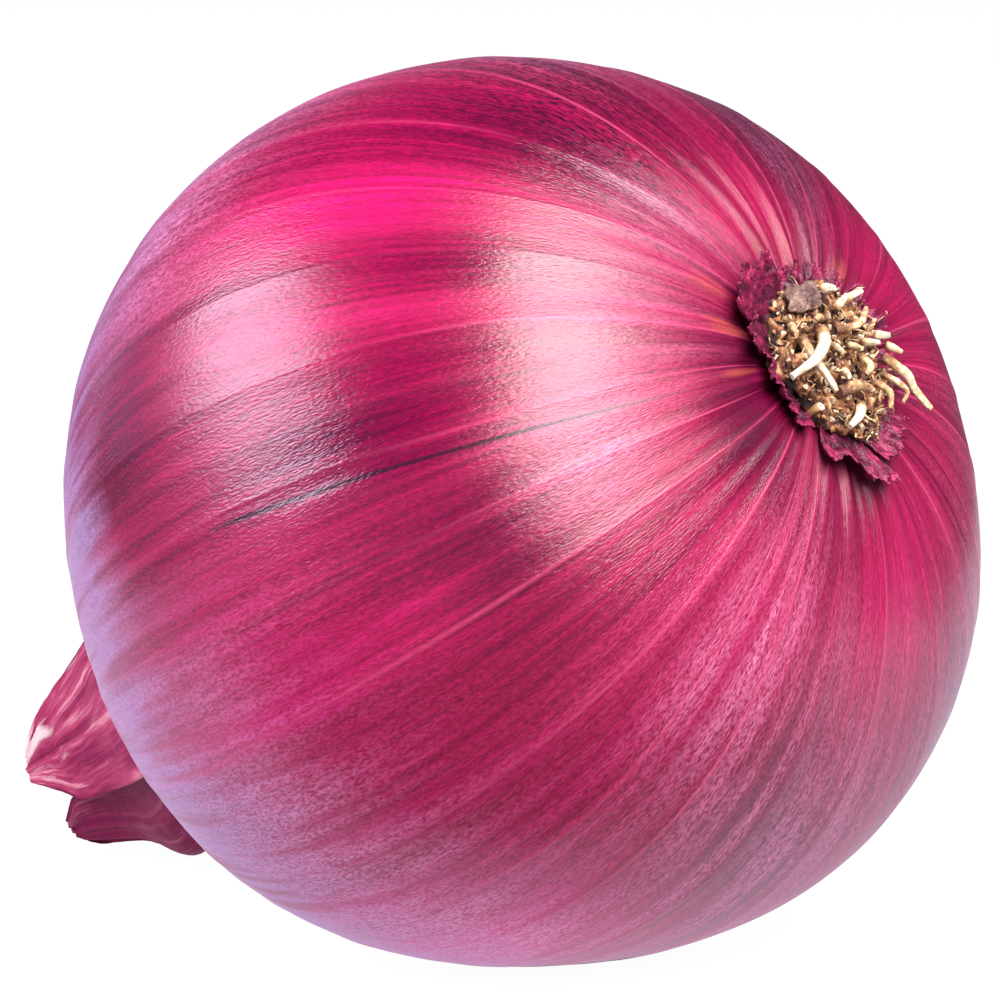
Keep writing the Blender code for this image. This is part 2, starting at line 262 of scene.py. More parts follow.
# The squareness and the lean turn with the direction round the axis.
across = add(tree, "ShaderNodeMath", {0: polar}, operation="SINE")
fourth = add(tree, "ShaderNodeMath", {0: across, 1: 4.0}, operation="POWER")
leaning = add(tree, "ShaderNodeMath", {0: across, 1: part_of["Z"]}, operation="MULTIPLY")
for size, count, start, window in (
    (SQUARENESS, 4, SQUARE_TURN, fourth),
    (LEAN, 1, LEAN_TURN, leaning),
):
    angle = add(
        tree,
        "ShaderNodeMath",
        {0: turn, 1: float(count), 2: -count * math.radians(start)},
        operation="MULTIPLY_ADD",
    )
    wave = add(tree, "ShaderNodeMath", {0: angle}, operation="COSINE")
    sized = add(tree, "ShaderNodeMath", {0: wave, 1: size}, operation="MULTIPLY")
    radius = add(tree, "ShaderNodeMath", {0: sized, 1: window, 2: radius}, operation="MULTIPLY_ADD")
radius = add(tree, "ShaderNodeMath", {0: radius, 1: RADIUS}, operation="MULTIPLY")


def belt(centre, width):
    """Adds nodes that give 1 at a polar angle in radians and fade out over a width."""
    away = add(tree, "ShaderNodeMath", {0: polar, 1: centre}, operation="SUBTRACT")
    scaled = add(tree, "ShaderNodeMath", {0: away, 1: 1 / width}, operation="MULTIPLY")
    squared = add(tree, "ShaderNodeMath", {0: scaled, 1: 2.0}, operation="POWER")
    minus = add(tree, "ShaderNodeMath", {0: squared, 1: -1.0}, operation="MULTIPLY")
    return add(tree, "ShaderNodeMath", {0: minus}, operation="EXPONENT")


# The root hollow and the neck spout.
for height, centre, width in (
    (-HOLLOW_DEPTH, 0.0, HOLLOW_WIDTH / RADIUS),
    (NECK_RISE, math.pi, NECK_WIDTH / RADIUS),
):
    radius = add(
        tree, "ShaderNodeMath", {0: belt(centre, width), 1: height, 2: radius}, operation="MULTIPLY_ADD"
    )

# Folds: a noise that is fine round the axis and long along it, so that it makes ridges.
NOISE_TO_HEIGHT = 3  # noise strays about a third from its middle
for height, around, along, centre, width in FOLDS:
    field = stretched_noise(tree, run, (around, around, along), 1.5)
    centred = add(tree, "ShaderNodeMath", {0: field, 1: 0.5}, operation="SUBTRACT")
    sized = add(tree, "ShaderNodeMath", {0: centred, 1: NOISE_TO_HEIGHT * height}, operation="MULTIPLY")
    window = belt(math.radians(centre), math.radians(width))
    radius = add(tree, "ShaderNodeMath", {0: sized, 1: window, 2: radius}, operation="MULTIPLY_ADD")

# Veins stand a hair proud.
VEIN_HEIGHT = 0.07 * MM
degrees = add(tree, "ShaderNodeMath", {0: turn, 1: 180 / math.pi}, operation="MULTIPLY")
vein = vein_nearness(tree, run, degrees, VEIN_RIDGE)
radius = add(tree, "ShaderNodeMath", {0: vein, 1: VEIN_HEIGHT, 2: radius}, operation="MULTIPLY_ADD")

# The long crease: the skin steps up on one side of a line and eases back down.
CREASE_HEIGHT = 0.22 * MM
drift = add(tree, "ShaderNodeMath", {0: polar, 1: CREASE_DRIFT, 2: degrees}, operation="MULTIPLY_ADD")
past = add(tree, "ShaderNodeMath", {0: drift, 1: CREASE_TURN + CREASE_DRIFT}, operation="SUBTRACT")
step = add(tree, "ShaderNodeMapRange", {0: past, 1: -1.0, 2: 0.4, 3: 0.0, 4: 1.0}, interpolation_type="SMOOTHSTEP")
ease = add(tree, "ShaderNodeMapRange", {0: past, 1: 0.0, 2: 9.0, 3: 1.0, 4: 0.0}, interpolation_type="SMOOTHSTEP")
length = belt(math.radians(CREASE_MIDDLE), math.radians(CREASE_REACH))
raised = add(tree, "ShaderNodeMath", {0: step, 1: ease}, operation="MULTIPLY")
faded = add(tree, "ShaderNodeMath", {0: raised, 1: length}, operation="MULTIPLY")
radius = add(tree, "ShaderNodeMath", {0: faded, 1: CREASE_HEIGHT, 2: radius}, operation="MULTIPLY_ADD")

# Push the ball out, keep each point's two angles for the finish, turn the onion and set it down.
place = add(tree, "ShaderNodeVectorMath", {0: unit, "Scale": radius}, operation="SCALE")
kept = add(
    tree,
    "GeometryNodeStoreNamedAttribute",
    {"Geometry": ball, "Name": "skin_run", "Value": run},
    data_type="FLOAT_VECTOR",
)
pushed = add(tree, "GeometryNodeSetPosition", {"Geometry": kept, "Position": place})
turned = add(
    tree,
    "GeometryNodeTransform",
    {"Geometry": pushed, "Translation": given["Middle"], "Rotation": ONION_TURN.to_euler()},
)
here = add(tree, "ShaderNodeSeparateXYZ", {0: add(tree, "GeometryNodeInputPosition")}).outputs
floor_or_higher = add(tree, "ShaderNodeMath", {0: here["Z"], 1: given["Rest height"]}, operation="MAXIMUM")
flat = add(tree, "ShaderNodeCombineXYZ", {0: here["X"], 1: here["Y"], 2: floor_or_higher})
set_down = add(tree, "GeometryNodeSetPosition", {"Geometry": turned, "Position": flat})
bulb_finish = bpy.data.materials.new("dry outer skin, satin, unvarnished")
end_shape(tree, set_down, bulb_finish, result)
print("nodes in the bulb's tree:", len(tree.nodes))

# %% Grow the bulb and set it into the solid bulb's box
trial = grow("trial_bulb", tree)
reach = np.array([v.co for v in trial.data.vertices]).max(0)
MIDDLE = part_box("bulb")[1] - Vector(reach)
bpy.data.objects.remove(trial)
bulb = grow("onion_bulb", tree, Middle=MIDDLE, Rest_height=0.0)
print("bulb middle, mm:", [round(c / MM, 2) for c in MIDDLE], "faces:", len(bulb.data.polygons))

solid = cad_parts["bulb"].data
solid_bulb = BVHTree.FromPolygons([v.co for v in solid.vertices], [p.vertices for p in solid.polygons])
OUTSIDE = 0.1  # a distance from the middle, in metres, that is well outside the bulb


def skin(polar, turn, lift=0.0):
    """A point this far above the solid bulb's skin, for two angles in degrees."""
    ray = direction(polar, turn)
    hit = solid_bulb.ray_cast(MIDDLE + OUTSIDE * ray, -ray)[0]
    return hit + lift * ray


# %% [markdown]
# ## Colour that follows the growth
#
# A red onion isn't one red: it has dark crimson bands, brighter magenta ones, a powdery bloom where the
# top cell layer has lifted, and straw-coloured tints where the skin dried out by the root. Noise alone
# would put these anywhere. Broad soft patches are therefore listed, worked out for each point of
# the mesh and kept on it as attributes, and the finish adds the fine streaks between them.
# Some patches are painted light: a whitened highlight, a lit underside, and lilac reflection at rim and neck.

# %% Broad patches on the skin
# Each patch: turn, half width, polar angle, half length in degrees, and strength.
DEEPER = [
    (20, 42, 55, 40, -0.25),
    (80, 5, 72, 11, -0.4),
    (150, 45, 60, 30, 0.15),
    (112, 14, 60, 20, -0.3),
    (99, 7, 66, 12, -0.3),
    (86, 11, 60, 14, -0.7),
    (104, 9, 54, 8, -0.7),
    (112, 26, 21, 6, -0.8),
    (165, 24, 24, 9, -0.5),
    (68, 14, 101, 9, -0.5),
    (30, 9, 42, 18, -0.5),
    (8, 13, 46, 22, -0.6),
    (20, 20, 20, 8, 0.5),
    (332, 12, 36, 20, -1.7),
    (46, 6, 64, 20, 0.75),
    (58, 9, 50, 10, -0.3),
    (185, 26, 30, 12, 0.5),
    (28, 6, 68, 12, 0.3),
    # Lighter low on the front, where the table's light falls: painted light.
    (142, 34, 92, 22, 0.9),
    (168, 28, 62, 22, -0.4),
    (90, 36, 15, 7, -0.8),
    (15, 35, 14, 6, -0.5),
    (190, 45, 14, 6, -0.4),
    (280, 60, 14, 6, -0.5),
    (240, 30, 70, 40, -0.45),
    (290, 22, 90, 40, 0.35),
    (212, 12, 95, 30, -0.35),
    (315, 9, 70, 30, -0.4),
    (264, 8, 60, 25, -0.4),
]
# Bloom patches; some below are painted light instead, each marked.
BLOOM_AND_PAINTED_LIGHT = [
    # Painted highlight: whitens the low end of the front right box's gleam.
    (97, 9, 41, 8, 0.5),
    (146, 16, 42, 18, 0.6),
    (172, 22, 62, 20, 0.6),
    (70, 14, 30, 10, 0.3),
    (36, 14, 28, 9, 0.4),
    # Lilac near the neck: painted reflection of the pale room, over the real bloom.
    (98, 62, 124, 15, 0.85),
    (60, 32, 122, 13, 0.7),
    (72, 13, 101, 9, -0.4),
    # Pale lilac along the upper rim: painted reflection.
    (36, 16, 98, 12, 0.9),
    (22, 14, 92, 14, 0.7),
    # A pale rim at the top right: painted reflection.
    (332, 12, 34, 18, 0.25),
    # A paler underside, where the table's light falls: painted light.
    (140, 34, 98, 18, 1.0),
    (152, 30, 108, 13, 0.7),
    (355, 16, 66, 18, 0.5),
    (232, 36, 66, 34, 0.5),
    (330, 24, 92, 26, 0.6),
    (280, 50, 118, 14, 0.8),
]
# Where the skin is sprinkled with short dark dashes.
SPECKLED = [
    (20, 20, 42, 22, 1.0),
    (4, 9, 62, 16, 0.7),
    (140, 12, 66, 16, 0.35),
    (345, 12, 34, 14, 0.8),
    (210, 25, 50, 25, 0.6),
    (300, 25, 45, 25, 0.6),
]
STRAW = [
    (52, 9, 20, 6, 0.6),
    (68, 5, 17, 5, 0.8),
    (88, 5, 17, 5, 0.6),
    (12, 12, 16, 6, 0.5),
    (352, 4, 16, 7, 0.45),
    (316, 8, 15, 5, 0.7),
    (260, 50, 15, 5, 0.4),
    (120, 20, 15, 4, 0.35),
]


def patches(listed, turns, polars):
    """The sum of soft patches at each point."""
    total = np.zeros(len(turns))
    for turn, half_width, polar, half_length, strength in listed:
        away = (turns - turn + 180) % 360 - 180
        total += strength * np.exp(-((away / half_width) ** 2) - ((polars - polar) / half_length) ** 2)
    return total


def keep_on(mesh, name, values):
    attribute = mesh.attributes.new(name, "FLOAT", "POINT")
    attribute.data.foreach_set("value", values.astype(np.float32))


angles = np.empty(len(bulb.data.vertices) * 3, np.float32)
bulb.data.attributes["skin_run"].data.foreach_get("vector", angles)
angles = angles.reshape(-1, 3)
turns = np.degrees(np.arctan2(angles[:, 1], angles[:, 0]))
polars = angles[:, 2] * 180
for name, listed in (("tone", DEEPER), ("powder", BLOOM_AND_PAINTED_LIGHT), ("straw", STRAW), ("speckle", SPECKLED)):
    values = patches(listed, turns, polars)
    keep_on(bulb.data, name, values)
    print(name, "from", round(values.min(), 2), "to", round(values.max(), 2))

# %% [markdown]
# ## The finish of the dry outer skin
#
# The outermost skin is a dead, dry leaf: papery, a tenth of a millimetre thick, with a natural waxy gloss.
# Its cells are long and lie root to neck, so the gloss breaks into fine fibres that way. A plain glossy
# shader looks like plastic here. So the fibres are small bumps in the gloss, and they also carry colour.


# %% The dry skin's material
def dry_skin(material):
    material.use_nodes = True
    tree = material.node_tree
    tree.nodes.clear()
    run = add(tree, "ShaderNodeAttribute", attribute_name="skin_run").outputs["Vector"]
    part_of = add(tree, "ShaderNodeSeparateXYZ", {0: run}).outputs
    turn = add(tree, "ShaderNodeMath", {0: part_of["Y"], 1: part_of["X"]}, operation="ARCTAN2")
    degrees = add(tree, "ShaderNodeMath", {0: turn, 1: 180 / math.pi}, operation="MULTIPLY")

    # Grain from coarse to fine. One unit of the run is 40 mm round the middle and about 125 mm from root to
    # neck, so counts of 24 and 3 make a streak about 1.7 mm wide and 40 mm long.
    grain = {}
    for label, around, along, detail in (
        ("broad", 1.7, 2.2, 2.0),
        ("band", 6.0, 1.8, 2.0),
        ("mottle", 9.0, 8.0, 3.0),
        ("streak", 24.0, 3.0, 3.0),
        ("thread", 75.0, 5.0, 3.0),
        ("fibre", 110.0, 55.0, 2.0),
        ("cell", 230.0, 260.0, 1.0),
    ):
        grain[label] = stretched_noise(tree, run, (around, around, along), detail)

    # Tone: the listed patches, then bands and streaks.
    tone, powder, straw, speckle = (
        add(tree, "ShaderNodeAttribute", attribute_name=label).outputs["Fac"]
        for label in ("tone", "powder", "straw", "speckle")
    )
    for label, amount in (
        ("broad", 1.0), ("band", 1.5), ("streak", 0.9), ("thread", 1.7), ("fibre", 0.6), ("cell", 1.4)
    ):
        centred = add(tree, "ShaderNodeMath", {0: grain[label], 1: 0.5}, operation="SUBTRACT")
        tone = add(tree, "ShaderNodeMath", {0: centred, 1: amount, 2: tone}, operation="MULTIPLY_ADD")
        if label == "streak":
            banded = tone
    level = add(tree, "ShaderNodeMapRange", {0: tone, 1: -1.2, 2: 1.2, 3: 0.0, 4: 1.0})
    crimsons = [(0.0, "#4c0228"), (0.3, "#700332"), (0.5, "#8c063e"), (0.72, "#a4084e"), (1.0, "#c20e6e")]
    colour = add(tree, "ShaderNodeValToRGB", {0: level}, crimsons)

    # Bloom and painted light: pale mauve flecks, thick where the patches say so. Some of the same flecks are
    # painted light: a whitened highlight, a paler underside where the table's light falls, lilac reflection.
    flecks = add(tree, "ShaderNodeMath", {0: grain["fibre"], 1: 0.4, 2: grain["cell"]}, operation="MULTIPLY_ADD")
    fleck = add(tree, "ShaderNodeMapRange", {0: flecks, 1: 0.56, 2: 0.86, 3: 0.05, 4: 1.0})
    broken = add(tree, "ShaderNodeMath", {0: grain["streak"], 1: 1.5, 2: grain["mottle"]}, operation="MULTIPLY_ADD")
    uneven = add(tree, "ShaderNodeMapRange", {0: broken, 1: 1.0, 2: 1.5, 3: 0.25, 4: 1.5})
    held = add(tree, "ShaderNodeMath", {0: powder, 1: uneven}, operation="MULTIPLY")
    held = add(tree, "ShaderNodeMath", {0: held, 1: 1.0}, operation="MINIMUM")
    # Towards the neck the flecks even out and turn lilac: painted reflection of the pale room, over real bloom.
    neckward = add(tree, "ShaderNodeMapRange", {0: part_of["Z"], 1: 0.5, 2: 0.64, 3: 0.0, 4: 1.0})
    evener = add(tree, "ShaderNodeMath", {0: neckward, 1: 0.7}, operation="MULTIPLY")
    fleck = add(tree, "ShaderNodeMix", {0: evener, "A": fleck, "B": 0.6}, data_type="FLOAT")
    bloom_and_light_share = add(tree, "ShaderNodeMath", {0: fleck, 1: held}, operation="MULTIPLY")
    bloom_and_light_colour = add(
        tree, "ShaderNodeMix", {0: neckward, "A": linear("#d07aa2"), "B": linear("#b092c2")}, data_type="RGBA"
    )
    colour = add(tree, "ShaderNodeMix", {0: bloom_and_light_share, "A": colour, "B": bloom_and_light_colour}, data_type="RGBA")

    # Dark dashes, about 0.3 mm wide and 1 mm long.
    dashes = stretched_noise(tree, run, (140.0, 140.0, 130.0), 1.0)
    shown = add(tree, "ShaderNodeMapRange", {0: dashes, 1: 0.5, 2: 0.62, 3: 0.0, 4: 0.9})
    held = add(tree, "ShaderNodeMath", {0: speckle, 1: 1.0}, operation="MINIMUM")
    dark = add(tree, "ShaderNodeMath", {0: shown, 1: held}, operation="MULTIPLY")
    colour = add(tree, "ShaderNodeMix", {0: dark, "A": colour, "B": linear("#200318")}, data_type="RGBA")

    # Straw tints by the root plate.
    broken = add(tree, "ShaderNodeMath", {0: straw, 1: grain["streak"]}, operation="MULTIPLY")
    tinted = add(tree, "ShaderNodeMapRange", {0: broken, 1: 0.2, 2: 0.6, 3: 0.0, 4: 0.5})
    colour = add(tree, "ShaderNodeMix", {0: tinted, "A": colour, "B": linear("#d9743f")}, data_type="RGBA")

    # Veins: thin and pale.
    vein = vein_nearness(tree, run, degrees, VEIN_LINE)
    faint = add(tree, "ShaderNodeMapRange", {0: grain["band"], 1: 0.42, 2: 0.62, 3: 0.05, 4: 0.5})
    rootward = add(tree, "ShaderNodeMapRange", {0: part_of["Z"], 1: 0.25, 2: 0.6, 3: 1.0, 4: 0.15})
    faint = add(tree, "ShaderNodeMath", {0: faint, 1: rootward}, operation="MULTIPLY")
    shown = add(tree, "ShaderNodeMath", {0: vein, 1: faint}, operation="MULTIPLY")
    colour = add(tree, "ShaderNodeMix", {0: shown, "A": colour, "B": linear("#e0557f")}, data_type="RGBA")

    # The crease is a dark line at the foot of its step: painted shade in the crease.
    drift = add(
        tree, "ShaderNodeMath", {0: part_of["Z"], 1: CREASE_DRIFT * math.pi, 2: degrees}, operation="MULTIPLY_ADD"
    )
    past = add(tree, "ShaderNodeMath", {0: drift, 1: CREASE_TURN + CREASE_DRIFT - 0.4}, operation="SUBTRACT")
    beside = add(tree, "ShaderNodeMath", {0: past}, operation="ABSOLUTE")
    line = add(tree, "ShaderNodeMapRange", {0: beside, 1: 0.12, 2: 0.5, 3: 0.9, 4: 0.0})
    begun = add(tree, "ShaderNodeMapRange", {0: part_of["Z"], 1: 0.12, 2: 0.2, 3: 0.0, 4: 1.0})
    ended = add(tree, "ShaderNodeMapRange", {0: part_of["Z"], 1: 0.46, 2: 0.49, 3: 1.0, 4: 0.0})
    part = add(tree, "ShaderNodeMath", {0: begun, 1: ended}, operation="MULTIPLY")
    drawn = add(tree, "ShaderNodeMath", {0: line, 1: part}, operation="MULTIPLY")
    colour = add(tree, "ShaderNodeMix", {0: drawn, "A": colour, "B": linear("#240a1e")}, data_type="RGBA")

    # Gloss: waxy and tightest on the dark bands, broken by the streaks, duller by the root
    # plate and where the bloom and painted light patches are thick.
    rough = add(tree, "ShaderNodeMapRange", {0: banded, 1: -0.8, 2: 0.1, 3: 0.16, 4: 0.28})
    rough = add(tree, "ShaderNodeMath", {0: grain["streak"], 1: 0.08, 2: rough}, operation="MULTIPLY_ADD")
    duller = add(tree, "ShaderNodeMath", {0: powder, 1: 0.08, 2: rough}, operation="MULTIPLY_ADD")
    by_root = add(tree, "ShaderNodeMapRange", {0: part_of["Z"], 1: 0.08, 2: 0.2, 3: 0.16, 4: 0.0})
    duller = add(tree, "ShaderNodeMath", {0: duller, 1: by_root}, operation="ADD")

    # Relief of the fibres, under a tenth of a millimetre.
    height = add(tree, "ShaderNodeMath", {0: grain["fibre"], 1: 0.7, 2: grain["cell"]}, operation="MULTIPLY_ADD")
    height = add(tree, "ShaderNodeMath", {0: vein, 1: 0.4, 2: height}, operation="MULTIPLY_ADD")
    bump = add(tree, "ShaderNodeBump", {"Strength": 1.0, "Distance": 0.04 * MM, "Height": height})

    look = {"Base Color": colour, "Roughness": duller, "IOR": 1.52, "Normal": bump}
    add(tree, "ShaderNodeOutputMaterial", {"Surface": add(tree, "ShaderNodeBsdfPrincipled", look)})
    print("nodes in the dry skin's finish:", len(tree.nodes))


dry_skin(bulb_finish)
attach(bulb, BODY)
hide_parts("bulb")

# %% [markdown]
# ## The root plate
#
# The root plate is the onion's real stem, squeezed to a disc. When it dries it turns to crumbly brown cork,
# pitted where roots have dropped out. It could be carved in detail by hand, but nothing on it is regular.
# So a lens shape is laid in the hollow first, and Geometry Nodes then push its surface in and out: small
# cells for the sockets of lost roots, and noise for the crumbling between them.

# %% Places on the root plate
PLATE_RADIUS, PLATE_THICKNESS, PLATE_RIM, GAP = 8.0 * MM, 1.6 * MM, 0.5 * MM, 0.3 * MM


def crown(up, side, lift=0.0):
    """A point this far above the plate's top; up and side are in mm across the axis."""
    away = math.hypot(up, side) * MM
    share = min(away / PLATE_RADIUS, 1)
    top = GAP + PLATE_RIM + PLATE_THICKNESS * math.sqrt(1 - share**2)
    return skin(math.degrees(away / RADIUS), math.degrees(math.atan2(side, up)), top + lift)


def lens(segments, rings):
    """A closed mesh in the shape of the solid root plate, with its points in the same order every time."""
    levels = [(0, 1)] + [(math.pi * r / rings, segments) for r in range(1, rings)] + [(math.pi, 1)]
    points, starts = [], []
    for fall, count in levels:
        starts.append(len(points))
        for i in range(count):
            turn = 2 * math.pi * i / segments
            uneven = 1 - 0.05 * (1 + math.sin(3 * turn + 1)) - 0.03 * (1 + math.sin(7 * turn))
            away = PLATE_RADIUS * math.sin(fall) * uneven
            top = GAP + PLATE_RIM + PLATE_THICKNESS * max(math.cos(fall), 0)
            lift = top if math.cos(fall) > -0.01 else GAP
            points.append(skin(math.degrees(away / RADIUS), math.degrees(turn), lift))
    faces = []
    for i in range(segments):
        j = (i + 1) % segments
        faces.append((starts[0], starts[1] + i, starts[1] + j))
        for a, b in zip(starts[1:-2], starts[2:-1]):
            faces.append((a + i, b + i, b + j, a + j))
        faces.append((starts[-2] + i, starts[-1], starts[-2] + j))
    mesh = bpy.data.meshes.new("plate_lens")
    mesh.from_pydata(points, [], faces)
    return mesh


# %% The plate's tree: sockets and crumbling
plate_finish = bpy.data.materials.new("dry brown stem cork, crumbling")
tree, given, result = shape_tree(
    "root_plate", {"Socket size": 1.3 * MM, "Socket depth": 0.9 * MM, "Crumbling": 0.8 * MM}
)
here = add(tree, "GeometryNodeInputPosition")
finer = add(tree, "ShaderNodeMath", {0: 1.0, 1: given["Socket size"]}, operation="DIVIDE")
cells = add(tree, "ShaderNodeTexVoronoi", {"Vector": here, "Scale": finer})
sunk = add(tree, "ShaderNodeMath", {0: cells.outputs["Distance"], 1: 0.55}, operation="SUBTRACT")
sunk = add(tree, "ShaderNodeMath", {0: sunk, 1: given["Socket depth"]}, operation="MULTIPLY")
crumbs = add(tree, "ShaderNodeTexNoise", {"Vector": here, "Scale": 900.0, "Detail": 4.0, "Roughness": 0.65})
crumbs = add(tree, "ShaderNodeMath", {0: crumbs, 1: 0.5}, operation="SUBTRACT")
relief = add(tree, "ShaderNodeMath", {0: crumbs, 1: given["Crumbling"], 2: sunk}, operation="MULTIPLY_ADD")
away = add(
    tree, "ShaderNodeVectorMath", {0: add(tree, "GeometryNodeInputNormal"), "Scale": relief}, operation="SCALE"
)
# The relief is kept for the finish, which paints shade into the sunk sockets.
kept = add(
    tree,
    "GeometryNodeStoreNamedAttribute",
    {"Geometry": given["Geometry"], "Name": "relief", "Value": relief},
    data_type="FLOAT",
)
moved = add(tree, "GeometryNodeSetPosition", {"Geometry": kept, "Offset": away})
end_shape(tree, moved, plate_finish, result)

plate = grow("corky_root_plate", tree, lens(200, 110))
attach(plate, BODY)
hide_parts("root_plate")
print("root plate faces:", len(plate.data.polygons))

# %% [markdown]
# ## Stubs, fibres and crumbs on the plate
#
# Most roots have snapped off and left short hollow stubs with pale ends, standing close together. Between
# them lie thread-thin root fibres and crumbs of cork. All three repeat over one surface, so one scattering
# tree serves them: it drops points on the plate's top, puts a small shape on each, turns it at random and
# bends the whole lot with noise. The small shapes stay low in faces because there are hundreds of them.


# %% Small shapes to scatter
def ring_stack(name, rings, sides):
    """A closed tube from (height, radius) pairs, with a cap on each end; it keeps its height as "tip"."""
    points, faces = [], []
    for height, radius in rings:
        for i in range(sides):
            angle = 2 * math.pi * i / sides
            points.append((radius * math.cos(angle), radius * math.sin(angle), height))
    for r in range(len(rings) - 1):
        for i in range(sides):
            j = (i + 1) % sides
            faces.append((r * sides + i, r * sides + j, (r + 1) * sides + j, (r + 1) * sides + i))
    faces.append(tuple(reversed(range(sides))))
    faces.append(tuple(range((len(rings) - 1) * sides, len(rings) * sides)))
    mesh = bpy.data.meshes.new(name)
    mesh.from_pydata(points, [], faces)
    tall = max(height for height, _ in rings)
    steps = [n / (len(rings) - 1) for n in range(len(rings)) for _ in range(sides)]
    keep_on(mesh, "tip", np.array(steps))
    thing = bpy.data.objects.new(name, mesh)
    print(name, "height", round(tall / MM, 2), "mm,", len(faces), "faces")
    return thing


stub = ring_stack(
    "stub_shape",
    [
        (-0.9 * MM, 0.22 * MM), (0.2 * MM, 0.3 * MM), (0.9 * MM, 0.32 * MM), (1.1 * MM, 0.28 * MM),
        (1.13 * MM, 0.2 * MM), (1.06 * MM, 0.08 * MM),
    ],
    9,
)
thread = ring_stack("thread_shape", [(n * 0.5 * MM, 0.075 * MM - n * 0.006 * MM) for n in range(-4, 5)], 4)
crumb = ring_stack(
    "crumb_shape",
    [(-0.25 * MM, 0.06 * MM), (-0.05 * MM, 0.3 * MM), (0.2 * MM, 0.22 * MM), (0.3 * MM, 0.05 * MM)],
    5,
)

# %% The scattering tree
TOP_FACING = 0.45  # how far a face has to look along the axis to count as the plate's top
SCATTER_SIZES = {
    "Spacing": 1.0 * MM,
    "Most per square metre": 1.0e6,
    "Seed": 1,
    "Lean": 0.5,
    "Least size": 0.6,
    "Greatest size": 1.2,
    "Bend": 0.4 * MM,
    "Bend size": 2.5 * MM,
}


def scatter_tree(name, shape, material, rounded):
    tree, given, result = shape_tree(name, SCATTER_SIZES)
    normal = add(tree, "GeometryNodeInputNormal")
    facing = add(tree, "ShaderNodeVectorMath", {0: normal, 1: tuple(AXIS)}, operation="DOT_PRODUCT").outputs[
        "Value"
    ]
    top = add(tree, "ShaderNodeMath", {0: facing, 1: TOP_FACING}, operation="GREATER_THAN")
    drops = add(
        tree,
        "GeometryNodeDistributePointsOnFaces",
        {
            "Mesh": given["Geometry"],
            "Selection": top,
            "Distance Min": given["Spacing"],
            "Density Max": given["Most per square metre"],
            "Seed": given["Seed"],
        },
        distribute_method="POISSON",
    )
    # Each leans away from the normal by its own amount, and turns about itself.
    tilt = add(
        tree,
        "FunctionNodeRandomValue",
        {"Min": (-1.0, -1.0, -1.0), "Max": (1.0, 1.0, 1.0), "Seed": given["Seed"]},
        data_type="FLOAT_VECTOR",
    )
    tilted = add(tree, "ShaderNodeVectorMath", {0: tilt.outputs[0], "Scale": given["Lean"]}, operation="SCALE")
    heading = add(tree, "ShaderNodeVectorMath", {0: tuple(AXIS), 1: tilted}, operation="ADD")
    aim = add(tree, "FunctionNodeAlignRotationToVector", {"Vector": heading}, axis="Z")
    size = add(
        tree,
        "FunctionNodeRandomValue",
        {"Min": given["Least size"], "Max": given["Greatest size"], "Seed": given["Seed"]},
        data_type="FLOAT",
    )
    shapes = add(tree, "GeometryNodeObjectInfo", {"Object": shape, "As Instance": True}).outputs["Geometry"]
    placed = add(
        tree,
        "GeometryNodeInstanceOnPoints",
        {"Points": drops, "Instance": shapes, "Rotation": aim, "Scale": size.outputs[1]},
    )
    own = add(tree, "FunctionNodeRandomValue", {"Seed": 7}, data_type="FLOAT")
    marked = add(
        tree,
        "GeometryNodeStoreNamedAttribute",
        {"Geometry": placed, "Name": "own", "Value": own.outputs[1]},
        data_type="FLOAT",
        domain="INSTANCE",
    )
    realized = add(tree, "GeometryNodeRealizeInstances", {"Geometry": marked})
    here = add(tree, "GeometryNodeInputPosition")
    finer = add(tree, "ShaderNodeMath", {0: 1.0, 1: given["Bend size"]}, operation="DIVIDE")
    sway = add(tree, "ShaderNodeTexNoise", {"Vector": here, "Scale": finer, "Detail": 1.0}).outputs["Color"]
    centred = add(tree, "ShaderNodeVectorMath", {0: sway, 1: (0.5, 0.5, 0.5)}, operation="SUBTRACT")
    shift = add(tree, "ShaderNodeVectorMath", {0: centred, "Scale": given["Bend"]}, operation="SCALE")
    bent = add(tree, "GeometryNodeSetPosition", {"Geometry": realized, "Offset": shift})
    end_shape(tree, bent, material, result, rounded)
    return tree


# %% Scatter them over the plate
stub_finish = bpy.data.materials.new("snapped root, pale pith in a tan rind")
thread_finish = bpy.data.materials.new("thread-thin dried root")
crumb_finish = bpy.data.materials.new("crumb of dry cork")
for name, shape, finish, slot, sizes in (
    (
        "root_stubs",
        stub,
        stub_finish,
        "dried_root",
        {
            "Spacing": 1.1 * MM, "Lean": 0.9, "Least_size": 0.4, "Greatest_size": 0.9, "Bend": 1.4 * MM,
            "Bend_size": 1.1 * MM, "Seed": 3,
        },
    ),
    (
        "root_threads",
        thread,
        thread_finish,
        "dried_root",
        {
            "Spacing": 0.6 * MM, "Lean": 2.2, "Least_size": 0.4, "Greatest_size": 1.0, "Bend": 3.0 * MM,
            "Bend_size": 1.8 * MM, "Seed": 5,
        },
    ),
    (
        "cork_crumbs",
        crumb,
        crumb_finish,
        "root_cork",
        {
            "Spacing": 0.42 * MM,
            "Most_per_square_metre": 6.0e6,
            "Lean": 3.0,
            "Least_size": 0.25,
            "Greatest_size": 1.0,
            "Bend": 1.0 * MM,
            "Bend_size": 0.6 * MM,
            "Seed": 9,
        },
    ),
):
    piece = grow(name, scatter_tree(name, shape, finish, name != "cork_crumbs"), lens(60, 40), **sizes)
    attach(piece, BODY)
    print(name, "faces:", len(piece.data.polygons))

# %% [markdown]
# ## The dried roots that are left
#
# Twenty roots still stand, as cream and straw-coloured cords about a millimetre thick. Fresh roots are
# round, and dried ones shrink into lengthwise ridges and taper. They could be bevelled curves, but those stay
# perfectly round. So one tree turns each route into a tube, wrinkles it along its length and thins it to its tip.

